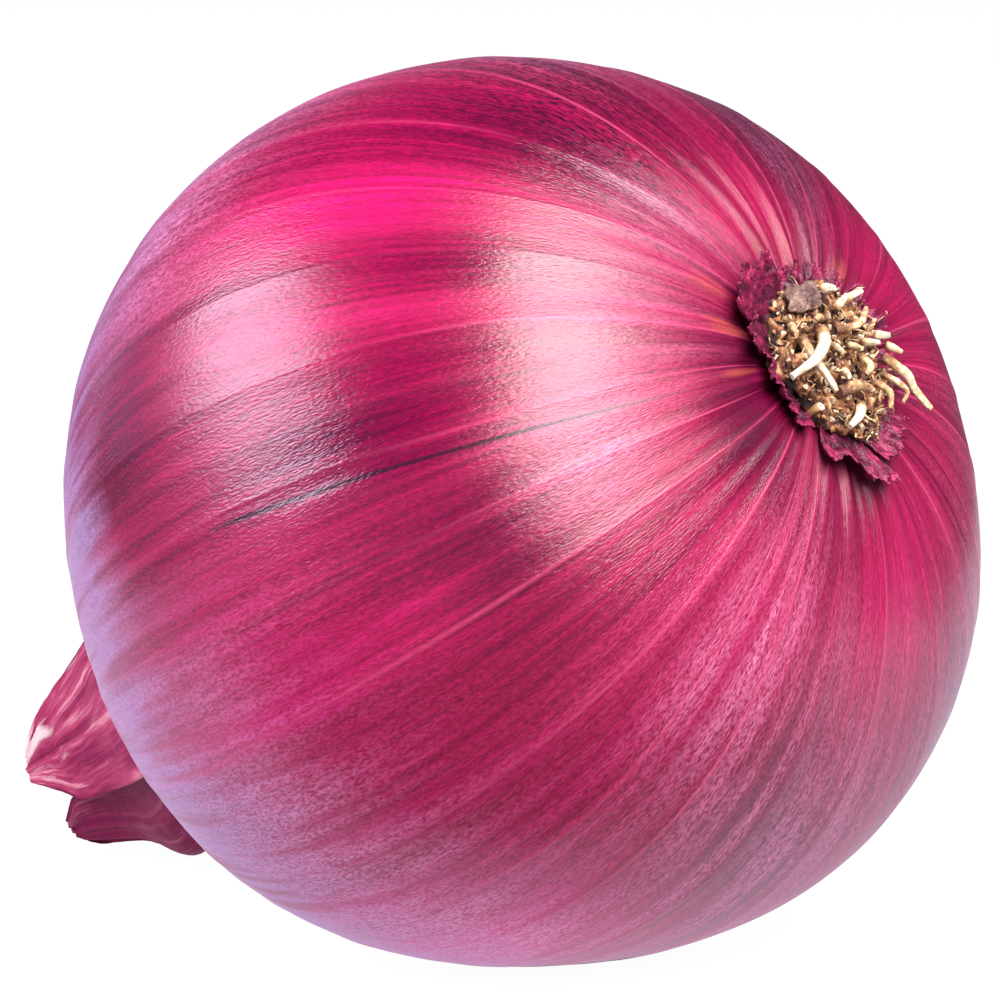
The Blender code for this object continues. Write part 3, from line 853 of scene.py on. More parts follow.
# %% The routes: up, side and height over the plate in mm, then the thickness in mm and how straw-coloured
ROOTS = [
    ([(1.9, 2.4, 0.6), (0.5, 4.2, 1.6), (-0.7, 6.4, 2.0), (-1.6, 9.0, 1.6)], 1.1, 0.1),
    ([(1.9, 4.9, 0.1), (0.2, 4.4, 0.1), (-2.0, 4.3, 0.7), (-3.5, 4.2, 1.0)], 0.9, 0.2),
    ([(-3.5, 2.8, 0.1), (-3.3, 0.4, 0.7), (-4.0, -1.6, 0.4)], 1.0, 0.8),
    ([(-1.1, -5.3, 0.1), (-3.1, -6.2, 1.1), (-4.6, -7.0, 1.5), (-6.3, -7.9, 1.5)], 0.9, 0.3),
    ([(-5.0, 0.4, 0.1), (-5.9, 2.3, 0.9), (-6.6, 3.8, 1.1)], 0.9, 0.1),
    ([(-3.0, -2.5, 0.1), (-4.3, -3.0, 1.0), (-5.7, -2.6, 0.8)], 0.7, 0.7),
    ([(2.0, -0.5, 0.1), (1.9, -2.5, 1.2), (3.3, -5.0, 0.7)], 0.7, 0.6),
    ([(-1.6, 0.6, 0.1), (-2.1, 1.5, 0.8), (-2.6, 2.5, 1.7)], 0.7, 0.2),
    ([(-0.8, -2.4, 0.1), (-2.0, -1.0, 1.5), (-2.6, 0.6, 2.2)], 0.8, 0.4),
    ([(5.8, -0.8, 0.1), (5.2, -0.9, 1.2)], 0.9, 0.1),
    ([(4.6, -3.4, 0.1), (4.7, -4.8, 1.2)], 0.7, 0.2),
    ([(1.0, -5.4, 0.1), (0.4, -5.9, 1.2)], 0.8, 0.1),
    ([(0.6, -3.5, 0.1), (-0.1, -4.0, 1.3)], 0.7, 0.2),
    ([(0.5, -1.5, 0.1), (-0.4, -0.9, 1.6)], 0.7, 0.4),
    ([(0.0, -6.9, 0.1), (-1.1, -7.3, 1.1)], 0.7, 0.1),
    ([(-2.6, -4.5, 0.1), (-3.6, -4.3, 1.2), (-4.6, -4.9, 1.5), (-5.4, -4.7, 1.0)], 0.6, 0.5),
    ([(3.2, 5.4, 0.1), (1.9, 6.4, 1.2)], 0.7, 0.6),
    ([(3.2, 1.0, 0.1), (3.0, 2.6, 1.1), (2.6, 4.0, 1.6)], 0.7, 0.7),
    ([(3.9, -1.6, 0.1), (4.5, -2.3, 1.3)], 0.7, 0.1),
    ([(0.6, 0.9, 0.1), (0.2, 2.1, 1.3), (-0.6, 2.7, 2.2)], 0.7, 0.5),
]

# %% The tree that makes one dried root
root_finish = bpy.data.materials.new("dried root, cream to straw")
tree, given, result = shape_tree(
    "dried_root", {"Thickness": 1.0 * MM, "Taper": 0.5, "Ridges": 0.1, "Straw": 0.3, "Seed": 0}
)
line = add(tree, "GeometryNodeMeshToCurve", {"Mesh": given["Geometry"]})
line = add(tree, "GeometryNodeCurveSplineType", {"Curve": line}, spline_type="CATMULL_ROM")
line = add(tree, "GeometryNodeResampleCurve", {"Curve": line, "Count": 44})
along = add(tree, "GeometryNodeSplineParameter").outputs["Factor"]
line = add(
    tree, "GeometryNodeStoreNamedAttribute", {"Geometry": line, "Name": "along", "Value": along}, data_type="FLOAT"
)
late = add(tree, "ShaderNodeMath", {0: along, 1: 2.0}, operation="POWER")
loss = add(tree, "ShaderNodeMath", {0: late, 1: given["Taper"]}, operation="MULTIPLY")
left = add(tree, "ShaderNodeMath", {0: 1.0, 1: loss}, operation="SUBTRACT")
ring = add(tree, "GeometryNodeCurvePrimitiveCircle", {"Resolution": 18, "Radius": 0.5})
thick = add(tree, "ShaderNodeMath", {0: left, 1: given["Thickness"]}, operation="MULTIPLY")
tube = add(
    tree, "GeometryNodeCurveToMesh", {"Curve": line, "Profile Curve": ring, "Scale": thick, "Fill Caps": True}
)
here = add(tree, "GeometryNodeInputPosition")
normal = add(tree, "GeometryNodeInputNormal")
# Ridges: noise that is read by the direction the surface faces, and only slowly along the root.
slow = add(tree, "ShaderNodeVectorMath", {0: here, "Scale": 180.0}, operation="SCALE")
read = add(tree, "ShaderNodeVectorMath", {0: normal, 1: (2.6, 2.6, 2.6), 2: slow}, operation="MULTIPLY_ADD")
field = add(
    tree,
    "ShaderNodeTexNoise",
    {"Vector": read, "W": given["Seed"], "Scale": 1.0, "Detail": 2.0},
    noise_dimensions="4D",
)
centred = add(tree, "ShaderNodeMath", {0: field, 1: 0.5}, operation="SUBTRACT")
deep = add(tree, "ShaderNodeMath", {0: given["Thickness"], 1: given["Ridges"]}, operation="MULTIPLY")
relief = add(tree, "ShaderNodeMath", {0: centred, 1: deep}, operation="MULTIPLY")
relief = add(tree, "ShaderNodeMath", {0: relief, 1: 4.0}, operation="MULTIPLY")
push = add(tree, "ShaderNodeVectorMath", {0: normal, "Scale": relief}, operation="SCALE")
moved = add(tree, "GeometryNodeSetPosition", {"Geometry": tube, "Offset": push})
shade = add(
    tree,
    "GeometryNodeStoreNamedAttribute",
    {"Geometry": moved, "Name": "straw", "Value": given["Straw"]},
    data_type="FLOAT",
)
end_shape(tree, shade, root_finish, result)

# %% Grow the twenty roots
for number, (stops, thickness, straw) in enumerate(ROOTS, 1):
    lifted = [crown(up, side, GAP + thickness * MM / 2 + height * MM) for up, side, height in stops]
    route = bpy.data.meshes.new(f"route_{number:02d}")
    route.from_pydata(lifted, [(i, i + 1) for i in range(len(lifted) - 1)], [])
    root = grow(f"dried_root_{number:02d}", tree, route, Thickness=thickness * MM, Straw=straw, Seed=number)
    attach(root, BODY)
    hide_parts(f"root_{number:02d}")
print("roots:", len(ROOTS), "faces in the last:", len(root.data.polygons))

# %% [markdown]
# ## One tree for everything papery
#
# The torn skin round the plate, the lifted flake of bark and the neck leaves are all thin dry sheets. Each
# starts as a coarse sheet in its place. One tree then does to all of them what drying does: it tears the
# free end, buckles the sheet along its length and crumples it, and gives it thickness last, so that the torn
# edges are closed too. Cloth simulation would also buckle a sheet, but a dry leaf keeps the folds it grew.

# %% The tree for dry sheets
tree, given, result = shape_tree(
    "dry_sheet",
    {
        "Levels": 3, "Tear": 0.2, "Tears across": 6.0, "Buckle": 0.4 * MM, "Folds across": 5.0,
        "Crumple": 0.3 * MM, "Crumple size": 2.0 * MM, "Thickness": 0.2 * MM, "Seed": 0,
    },
)
fine = add(tree, "GeometryNodeSubdivisionSurface", {"Mesh": given["Geometry"], "Level": given["Levels"]})
along, across = (
    add(tree, "GeometryNodeInputNamedAttribute", {"Name": label}, data_type="FLOAT").outputs["Attribute"]
    for label in ("along", "across")
)
# Tear: the free end is eaten back by noise, deepest in a few places.
tear_x = add(tree, "ShaderNodeMath", {0: across, 1: given["Tears across"]}, operation="MULTIPLY")
tear_at = add(tree, "ShaderNodeCombineXYZ", {0: tear_x, 1: along})
ragged = add(
    tree,
    "ShaderNodeTexNoise",
    {"Vector": tear_at, "W": given["Seed"], "Scale": 1.0, "Detail": 3.0, "Roughness": 0.6},
    noise_dimensions="4D",
)
eaten = add(tree, "ShaderNodeMath", {0: ragged, 1: given["Tear"]}, operation="MULTIPLY")
limit = add(tree, "ShaderNodeMath", {0: eaten, 1: 2.0}, operation="MULTIPLY")
reach = add(tree, "ShaderNodeMath", {0: along, 1: limit}, operation="ADD")
gone = add(tree, "ShaderNodeMath", {0: reach, 1: 1.0}, operation="GREATER_THAN")
torn = add(tree, "GeometryNodeDeleteGeometry", {"Geometry": fine, "Selection": gone}, domain="FACE")
# Buckle: folds that run along the sheet and grow towards its free end.
fold_x = add(tree, "ShaderNodeMath", {0: across, 1: given["Folds across"]}, operation="MULTIPLY")
fold_at = add(tree, "ShaderNodeCombineXYZ", {0: fold_x, 1: along})
folds = add(
    tree,
    "ShaderNodeTexNoise",
    {"Vector": fold_at, "W": given["Seed"], "Scale": 1.0, "Detail": 1.0},
    noise_dimensions="4D",
)
folds = add(tree, "ShaderNodeMath", {0: folds, 1: 0.5}, operation="SUBTRACT")
grown = add(tree, "ShaderNodeMath", {0: along, 1: 0.15}, operation="ADD")
grown = add(tree, "ShaderNodeMath", {0: grown, 1: given["Buckle"]}, operation="MULTIPLY")
buckle = add(tree, "ShaderNodeMath", {0: folds, 1: grown}, operation="MULTIPLY")
# Crumple: smaller dents anywhere.
here = add(tree, "GeometryNodeInputPosition")
finer = add(tree, "ShaderNodeMath", {0: 1.0, 1: given["Crumple size"]}, operation="DIVIDE")
dents = add(tree, "ShaderNodeTexNoise", {"Vector": here, "Scale": finer, "Detail": 3.0, "Roughness": 0.55})
dents = add(tree, "ShaderNodeMath", {0: dents, 1: 0.5}, operation="SUBTRACT")
relief = add(tree, "ShaderNodeMath", {0: dents, 1: given["Crumple"], 2: buckle}, operation="MULTIPLY_ADD")
relief = add(tree, "ShaderNodeMath", {0: relief, 1: 3.0}, operation="MULTIPLY")
push = add(
    tree, "ShaderNodeVectorMath", {0: add(tree, "GeometryNodeInputNormal"), "Scale": relief}, operation="SCALE"
)
moved = add(tree, "GeometryNodeSetPosition", {"Geometry": torn, "Offset": push})
# Thickness: the sheet is pulled out into a second one, and the first is turned round to close it.
outer = add(
    tree, "GeometryNodeExtrudeMesh", {"Mesh": moved, "Offset Scale": given["Thickness"], "Individual": False}
)
inner = add(tree, "GeometryNodeFlipFaces", {"Mesh": moved})
joined = add(tree, "GeometryNodeJoinGeometry")
tree.links.new(outer.outputs["Mesh"], joined.inputs[0])
tree.links.new(inner.outputs["Mesh"], joined.inputs[0])
closed = add(tree, "GeometryNodeMergeByDistance", {"Geometry": joined, "Distance": 0.005 * MM})
tree.interface.new_socket("Finish", in_out="INPUT", socket_type="NodeSocketMaterial")
end_shape(tree, closed, given["Finish"], result)
sheet_tree = tree


def dry_sheet(name, rows, **sizes):
    """Grows a sheet from rows of points; the rows run from its held end to its free end."""
    first, beside, beyond = rows[0][0], rows[0][1], rows[1][0]
    outwards = (beside - first).cross(beyond - first).dot(first - MIDDLE) > 0
    wide = len(rows[0])
    faces = []
    for i in range(len(rows) - 1):
        for j in range(wide - 1):
            corner = i * wide + j
            face = (corner, corner + 1, corner + wide + 1, corner + wide)
            faces.append(face if outwards else face[::-1])
    mesh = bpy.data.meshes.new(name + "_flat")
    mesh.from_pydata([p for row in rows for p in row], [], faces)
    keep_on(mesh, "along", np.repeat(np.linspace(0, 1, len(rows)), wide))
    keep_on(mesh, "across", np.tile(np.linspace(0, 1, wide), len(rows)))
    return grow(name, sheet_tree, mesh, **sizes)


# %% [markdown]
# ## Torn skin round the root plate
#
# The dry outer skins end at the plate, where they tore when the onion was cleaned. The plate holds short
# tongues of them, whose free ends curl up off the bulb. Each tongue starts under the plate's edge, follows
# the bulb for a little, then rises and curls back over.

# %% The tongues: direction, half spread in degrees, reach past the plate's edge and height in mm, curl in degrees
torn_finish = bpy.data.materials.new("torn outer skin, purple with a bleached edge")
TONGUES = [
    (4, 15, 1.8, 0.8, 20),
    (31, 13, 5.0, 1.6, 60),
    (52, 13, 6.2, 2.2, 85),
    (72, 10, 5.6, 2.4, 95),
    (88, 10, 2.8, 1.6, 60),
    (105, 11, 2.4, 1.4, 70),
    (123, 10, 2.0, 1.2, 60),
    (155, 12, 3.8, 1.7, 60),
    (176, 14, 6.0, 2.2, 70),
    (197, 12, 3.2, 1.7, 70),
    (217, 12, 2.4, 1.4, 50),
    (258, 18, 1.8, 1.0, 40),
    (296, 19, 2.4, 1.3, 50),
    (333, 18, 2.0, 1.0, 30),
]


def tongue_rows(turn, spread, reach, height, curl, rows=9, wide=9):
    """Rows of points that follow the bulb out from under the plate, then rise and curl."""
    out = []
    start, edge = 6.9 * MM, 8.3 * MM
    held, full = 0.3, math.radians(curl)  # the share that stays flat, and the whole bend
    for v in np.linspace(0, 1, rows).tolist():
        # Distance over the skin and height above it, from a path that bends up by the curl.
        bend = full * max(v - held, 0) / 0.7
        gone = v if bend == 0 else held + 0.7 * math.sin(bend) / full
        away = start + (edge - start + reach * MM) * gone
        lift = (0.35 + height * v**1.4) * MM + reach * MM * 0.5 * (1 - math.cos(bend)) / full
        row = []
        for u in np.linspace(-1, 1, wide).tolist():
            narrow = 1 - 0.35 * v**2 * abs(u)
            around = turn + spread * u * narrow
            row.append(skin(math.degrees(away / RADIUS), around, lift + 0.25 * MM * v * u * u))
        out.append(row)
    return out


for number, (turn, spread, reach, height, curl) in enumerate(TONGUES, 1):
    torn = dry_sheet(
        f"torn_skin_{number:02d}",
        tongue_rows(turn, spread, reach, height, curl),
        Levels=3,
        Tear=0.34,
        Tears_across=5.0 * spread / 10,
        Buckle=1.2 * MM,
        Folds_across=2.6 * spread / 10,
        Crumple=0.35 * MM,
        Crumple_size=1.7 * MM,
        Thickness=0.16 * MM,
        Seed=number,
        Finish=torn_finish,
    )
    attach(torn, BODY)
    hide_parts(f"skin_flap_{number:02d}")
print("tongues:", len(TONGUES), "faces in the last:", len(torn.data.polygons))

# %% The lifted flake of bark
bark_finish = bpy.data.materials.new("grey-brown bark of the root plate")
flake_rows = []
for up in np.linspace(4.2, 7.2, 6).tolist():
    sides = np.linspace(0.4, 4.8, 7).tolist()
    flake_rows.append(
        [
            crown(up, side * (1 - 0.06 * (up - 4.4)), (0.4 + 0.1 * (up - 4.4) + 0.1 * (side - 2.6) ** 2) * MM)
            for side in sides
        ]
    )
flake = dry_sheet(
    "grey_bark_flake",
    flake_rows,
    Levels=3,
    Tear=0.22,
    Tears_across=4.0,
    Buckle=0.5 * MM,
    Folds_across=3.0,
    Crumple=0.5 * MM,
    Crumple_size=1.2 * MM,
    Thickness=0.22 * MM,
    Seed=40,
    Finish=bark_finish,
)
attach(flake, BODY)
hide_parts("bark_flake")

# %% [markdown]
# ## The neck leaves
#
# Beyond the neck the leaf bases fan out like a fish tail: a pair in front, a pair behind and a folded one
# between. Each is a quarter of a flattened tube, so it is set out as stations along the neck, and the rows
# between them curve from the fan's edge in to its middle. The same tree then buckles and tears them.

# %% The fan's own directions
FAN_TURN = math.radians(10.7)
FAN_UP = math.cos(FAN_TURN) * ACROSS + math.sin(FAN_TURN) * TOWARDS
FAN_OUT = math.cos(FAN_TURN) * TOWARDS - math.sin(FAN_TURN) * ACROSS
NECK_END = (skin(180, 0) - MIDDLE).length - NECK_RISE
EDGE_DEPTH = 0.8


def neck_point(past, up, out):
    """A point past the bulb's neck end, in mm along the fan's own directions."""
    return MIDDLE - (NECK_END + past * MM) * AXIS + up * MM * FAN_UP + out * MM * FAN_OUT


def soft_rows(stations, steps):
    """Stations with others between them along a soft curve."""
    rows = np.array(stations, float)
    held = np.vstack([2 * rows[0] - rows[1], rows, 2 * rows[-1] - rows[-2]])
    out = []
    for a, b, c, d in zip(held, held[1:], held[2:], held[3:]):
        for t in np.arange(steps) / steps:
            bend = (2 * a - 5 * b + 4 * c - d) * t**2 + (3 * b - a - 3 * c + d) * t**3
            out.append(b + ((c - a) * t + bend) / 2)
    out.append(rows[-1])
    return np.array(out).tolist()


# %% Stations: distance past the neck end, height of the outer and of the inner edge, depth of the inner edge, in mm
neck_finish = bpy.data.materials.new("dry neck leaf, magenta with cream veins")
LEAVES = {
    "neck_leaf_front_upper": [
        (4.6, 9.0, -4.5, 9.0), (11.0, 9.6, -5.5, 6.8), (15.5, 7.9, -5.4, 4.6), (20.0, 6.3, -5.2, 3.4),
        (23.0, 5.0, -4.8, 2.8), (25.0, 4.0, -3.3, 2.5), (27.2, 2.5, -2.1, 2.1), (29.6, 0.7, -0.9, 1.7),
    ],
    "neck_leaf_front_lower": [
        (4.6, -9.0, -0.5, 8.0), (11.0, -13.7, -3.6, 5.9), (15.5, -14.4, -4.4, 3.8), (18.6, -12.1, -4.4, 2.7),
        (21.0, -10.8, -4.3, 2.3), (25.0, -9.5, -4.0, 1.9), (26.8, -8.7, -5.2, 1.7), (28.3, -7.5, -6.2, 1.5),
    ],
    "neck_leaf_back_upper": [
        (4.6, 9.0, 0.5, -9.0), (11.0, 9.0, -1.0, -6.8), (18.0, 7.0, -2.0, -4.0), (24.0, 4.4, -2.0, -2.6),
        (28.0, 2.0, -1.2, -2.0), (30.4, 0.7, -0.3, -1.7),
    ],
    "neck_leaf_back_lower": [
        (4.6, -9.0, -0.5, -9.0), (11.0, -12.2, -2.4, -6.2), (17.0, -12.6, -3.4, -3.8), (22.0, -9.8, -4.2, -2.6),
        (27.0, -7.0, -4.8, -1.9),
    ],
}


def leaf_rows(stations):
    rows = []
    for past, outer, inner, depth in soft_rows(stations, 2):
        edge = math.copysign(EDGE_DEPTH, depth)
        angles = np.linspace(0, math.pi / 2, 9).tolist()
        rows.append(
            [
                neck_point(past, inner + (outer - inner) * math.cos(u), edge + (depth - edge) * math.sin(u))
                for u in angles
            ]
        )
    return rows


def keep_same(mesh, name, value):
    keep_on(mesh, name, np.full(len(mesh.vertices), value))


for name, darkness in (
    ("neck_leaf_front_upper", 0.0), ("neck_leaf_front_lower", 1.0), ("neck_leaf_back_upper", 0.3),
    ("neck_leaf_back_lower", 0.8),
):
    leaf = dry_sheet(
        name.replace("neck_leaf", "neck_skin"),
        leaf_rows(LEAVES[name]),
        Levels=3,
        Tear=0.04,
        Tears_across=2.0,
        Buckle=0.5 * MM,
        Folds_across=5.0,
        Crumple=0.25 * MM,
        Crumple_size=5.0 * MM,
        Thickness=0.3 * MM,
        Seed=len(name),
        Finish=neck_finish,
    )
    keep_same(leaf.data, "dark", darkness)
    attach(leaf, BODY)
    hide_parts(name)
    print(leaf.name, "faces:", len(leaf.data.polygons))

# The folded leaf inside: distance past the neck end, then its high and low edges, in mm.
inner_rows = []
for past, high, low in soft_rows(
    [(12.0, 3.4, -5.2), (17.6, 2.6, -6.2), (22.6, 1.2, -5.6), (26.0, -0.8, -4.0), (27.6, -1.8, -2.8)], 2
):
    inner_rows.append([neck_point(past, low + (high - low) * n / 8, -0.3) for n in range(9)])
inner = dry_sheet(
    "neck_skin_inner",
    inner_rows,
    Levels=3,
    Tear=0.1,
    Tears_across=3.0,
    Buckle=0.25 * MM,
    Folds_across=4.0,
    Crumple=0.1 * MM,
    Crumple_size=3.0 * MM,
    Thickness=0.3 * MM,
    Seed=77,
    Finish=neck_finish,
)
keep_same(inner.data, "dark", 0.2)
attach(inner, BODY)
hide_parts("neck_leaf_inner")

# %% [markdown]
# ## Finishes of the dried parts
#
# Cork, dried root and torn skin are all matt and broken up in colour: brown cork with tan crumbs, cream
# roots with straw-coloured ridges, purple skin bleached along its torn edge. Each finish reads noise in the
# object's own space, at the size of the real crumbs, and adds relief of about a tenth of a millimetre.


# %% How the matt finishes start and end
def start_finish(material):
    """An empty tree for a material, and object coordinates in millimetres."""
    material.use_nodes = True
    tree = material.node_tree
    tree.nodes.clear()
    place = add(tree, "ShaderNodeTexCoord").outputs["Object"]
    return tree, add(tree, "ShaderNodeVectorMath", {0: place, "Scale": 1 / MM}, operation="SCALE")


def end_finish(tree, colour, height, roughness, relief, specular=0.5):
    """Ends a finish: a rough shader with this relief, in metres."""
    bump = add(tree, "ShaderNodeBump", {"Strength": 1.0, "Distance": relief, "Height": height})
    look = {"Base Color": colour, "Roughness": roughness, "IOR": 1.45, "Specular IOR Level": specular}
    shader = add(tree, "ShaderNodeBsdfPrincipled", {**look, "Normal": bump})
    add(tree, "ShaderNodeOutputMaterial", {"Surface": shader})
    print("nodes in this finish:", len(tree.nodes))


# %% Cork: crumbs about 0.6 mm across, with painted shade in the sockets
tree, place = start_finish(plate_finish)
crumbs = add(tree, "ShaderNodeTexNoise", {"Vector": place, "Scale": 1.6, "Detail": 5.0, "Roughness": 0.7})
# Lower relief reads darker: painted shade in the sunk sockets, over the crumbs' own colour.
depth = add(tree, "ShaderNodeAttribute", attribute_name="relief").outputs["Fac"]
depth = add(tree, "ShaderNodeMath", {0: depth, 1: 0.9 / MM, 2: crumbs}, operation="MULTIPLY_ADD")
colour = add(
    tree,
    "ShaderNodeValToRGB",
    {0: depth},
    [(0.25, "#170a0b"), (0.45, "#3f221b"), (0.6, "#774a34"), (0.74, "#ab7a54"), (0.88, "#dbbd96")],
)
end_finish(tree, colour, crumbs, 0.92, 0.12 * MM)

# %% Snapped roots: a pale end, a tan rind, and painted shade for the hollow at the end
tree, place = start_finish(stub_finish)
tip = add(tree, "ShaderNodeAttribute", attribute_name="tip").outputs["Fac"]
own = add(tree, "ShaderNodeAttribute", attribute_name="own").outputs["Fac"]
grain = add(tree, "ShaderNodeTexNoise", {"Vector": place, "Scale": 3.0, "Detail": 3.0})
mixed = add(tree, "ShaderNodeMath", {0: grain, 1: own}, operation="ADD")
rind = add(
    tree, "ShaderNodeValToRGB", {0: mixed}, [(0.4, "#3f2118"), (0.8, "#7d4f34"), (1.1, "#b0855a"), (1.4, "#d8bc90")]
)
end = add(tree, "ShaderNodeMapRange", {0: tip, 1: 0.45, 2: 0.7, 3: 0.0, 4: 1.0})
pale = add(tree, "ShaderNodeMapRange", {0: own, 1: 0.25, 2: 0.6, 3: 0.35, 4: 1.0})
share = add(tree, "ShaderNodeMath", {0: end, 1: pale}, operation="MULTIPLY")
# The middle of the end turns brown: painted shade standing in for the stub's hollow.
painted_hollow_shade = add(tree, "ShaderNodeMapRange", {0: tip, 1: 0.86, 2: 0.98, 3: 0.0, 4: 0.85})
colour = add(tree, "ShaderNodeMix", {0: share, "A": rind, "B": linear("#efe2c6")}, data_type="RGBA")
colour = add(tree, "ShaderNodeMix", {0: painted_hollow_shade, "A": colour, "B": linear("#8a6040")}, data_type="RGBA")
end_finish(tree, colour, grain, 0.85, 0.06 * MM)

# %% Threads and crumbs
for material, stops in (
    (thread_finish, [(0.3, "#5e3826"), (0.9, "#b08358"), (1.4, "#e2c99c")]),
    (crumb_finish, [(0.3, "#2e1513"), (0.7, "#6b4130"), (1.1, "#a87850"), (1.5, "#ead8b4")]),
):
    tree, place = start_finish(material)
    own = add(tree, "ShaderNodeAttribute", attribute_name="own").outputs["Fac"]
    grain = add(tree, "ShaderNodeTexNoise", {"Vector": place, "Scale": 2.5, "Detail": 3.0})
    mixed = add(tree, "ShaderNodeMath", {0: grain, 1: own}, operation="ADD")
    colour = add(tree, "ShaderNodeValToRGB", {0: mixed}, stops)
    end_finish(tree, colour, grain, 0.9, 0.04 * MM)

# %% Dried roots: cream ridges, straw-coloured hollows, browner at the foot
tree, place = start_finish(root_finish)
straw = add(tree, "ShaderNodeAttribute", attribute_name="straw").outputs["Fac"]
along = add(tree, "ShaderNodeAttribute", attribute_name="along").outputs["Fac"]
grain = add(tree, "ShaderNodeTexNoise", {"Vector": place, "Scale": 2.2, "Detail": 4.0, "Roughness": 0.6})
foot = add(tree, "ShaderNodeMapRange", {0: along, 1: 0.0, 2: 0.3, 3: 0.45, 4: 0.0})
browner = add(tree, "ShaderNodeMath", {0: straw, 1: 0.4, 2: foot}, operation="MULTIPLY_ADD")
level = add(tree, "ShaderNodeMath", {0: grain, 1: browner}, operation="ADD")
colour = add(
    tree,
    "ShaderNodeValToRGB",
    {0: level},
    [(0.42, "#f2e8d4"), (0.6, "#dcc6a0"), (0.8, "#b48c60"), (1.05, "#74503a")],
)
end_finish(tree, colour, grain, 0.78, 0.06 * MM)

# %% Grey-brown bark
tree, place = start_finish(bark_finish)
grain = add(tree, "ShaderNodeTexNoise", {"Vector": place, "Scale": 1.3, "Detail": 5.0, "Roughness": 0.7})
colour = add(
    tree,
    "ShaderNodeValToRGB",
    {0: grain},
    [(0.3, "#3d2a2a"), (0.48, "#6d5450"), (0.62, "#94786c"), (0.75, "#b49a86")],
)
end_finish(tree, colour, grain, 0.9, 0.12 * MM)

# %% Torn skin: purple, with a pink bleached edge
tree, place = start_finish(torn_finish)
along = add(tree, "ShaderNodeAttribute", attribute_name="along").outputs["Fac"]
grain = add(tree, "ShaderNodeTexNoise", {"Vector": place, "Scale": 0.9, "Detail": 5.0, "Roughness": 0.65})
fine = add(tree, "ShaderNodeTexNoise", {"Vector": place, "Scale": 5.0, "Detail": 2.0})
level = add(tree, "ShaderNodeMath", {0: along, 1: 0.32, 2: grain}, operation="MULTIPLY_ADD")
colour = add(
    tree,
    "ShaderNodeValToRGB",
    {0: level},
    [(0.42, "#260616"), (0.58, "#560b30"), (0.74, "#851844"), (0.88, "#ad3c66"), (1.0, "#dba2ae")],
)
height = add(tree, "ShaderNodeMath", {0: fine, 1: grain}, operation="ADD")
end_finish(tree, colour, height, 0.45, 0.1 * MM)

# %% Neck leaves: magenta, cream streaks, pale veins
tree, place = start_finish(neck_finish)
along, across, dark = (
    add(tree, "ShaderNodeAttribute", attribute_name=label).outputs["Fac"] for label in ("along", "across", "dark")
)
spot = add(tree, "ShaderNodeCombineXYZ", {0: across, 1: along})
wavy = add(tree, "ShaderNodeTexNoise", {"Vector": spot, "Scale": 3.0, "Detail": 2.0}).outputs["Color"]
drawn = add(tree, "ShaderNodeVectorMath", {0: wavy, 1: (0.12, 0.12, 0.0), 2: spot}, operation="MULTIPLY_ADD")
streak = stretched_noise(tree, drawn, (11.0, 1.6, 1.0), 4.0)
fibre = stretched_noise(tree, drawn, (60.0, 8.0, 1.0), 2.0)
level = add(tree, "ShaderNodeMath", {0: fibre, 1: 0.35, 2: streak}, operation="MULTIPLY_ADD")
colour = add(
    tree,
    "ShaderNodeValToRGB",
    {0: level},
    [(0.42, "#5c0a30"), (0.58, "#861844"), (0.74, "#ae3e60"), (0.9, "#dc9a9e")],
)
# Cream shows at the fan's edge and free end of the paler leaves.
blotch = stretched_noise(tree, drawn, (4.5, 2.0, 1.0), 4.0)
outer = add(tree, "ShaderNodeMapRange", {0: across, 1: 0.0, 2: 0.75, 3: 1.0, 4: 0.0})
free = add(tree, "ShaderNodeMapRange", {0: along, 1: 0.45, 2: 0.85, 3: 0.0, 4: 1.0})
cream = add(tree, "ShaderNodeMath", {0: outer, 1: free}, operation="MULTIPLY")
cream = add(tree, "ShaderNodeMath", {0: cream, 1: 0.32, 2: blotch}, operation="MULTIPLY_ADD")
cream = add(tree, "ShaderNodeMath", {0: dark, 1: -0.35, 2: cream}, operation="MULTIPLY_ADD")
cream = add(tree, "ShaderNodeMapRange", {0: cream, 1: 0.58, 2: 0.72, 3: 0.0, 4: 0.9})
colour = add(tree, "ShaderNodeMix", {0: cream, "A": colour, "B": linear("#ecd2c4")}, data_type="RGBA")
deeper = add(tree, "ShaderNodeMath", {0: dark, 1: 0.8}, operation="MULTIPLY")
colour = add(tree, "ShaderNodeMix", {0: deeper, "A": colour, "B": linear("#600430")}, data_type="RGBA")
end_finish(tree, colour, level, 0.5, 0.15 * MM, specular=0.12)

# %% [markdown]
# ## Table, light and camera
#
# The onion lies on a white table in a white room, so that its own colour is all there is. A tall soft box
# leans in front of it to the right, and a lower round one stands to the left; each leaves a soft gleam. A
# pale card that lies behind the onion lights its underside. The room is dimmer than it looks, because a
# fully white room would wash the skin out.

# %% Table
bpy.ops.mesh.primitive_plane_add(size=6)
table = bpy.context.object
table.name = "table"
white = bpy.data.materials.new("white table top, matt")
white.use_nodes = True
top = white.node_tree.nodes["Principled BSDF"]
top.inputs["Base Color"].default_value = linear("#3c3c3c")
top.inputs["Roughness"].default_value = 0.9
top.inputs["Emission Color"].default_value = (1, 1, 1, 1)
# The top is over-lit as it is seen, and gives the onion much less light back.
seen = add(white.node_tree, "ShaderNodeLightPath").outputs["Is Camera Ray"]
glow = add(white.node_tree, "ShaderNodeMapRange", {0: seen, 1: 0.0, 2: 1.0, 3: 0.06, 4: 0.97})
white.node_tree.links.new(glow.outputs[0], top.inputs["Emission Strength"])
table.data.materials.append(white)

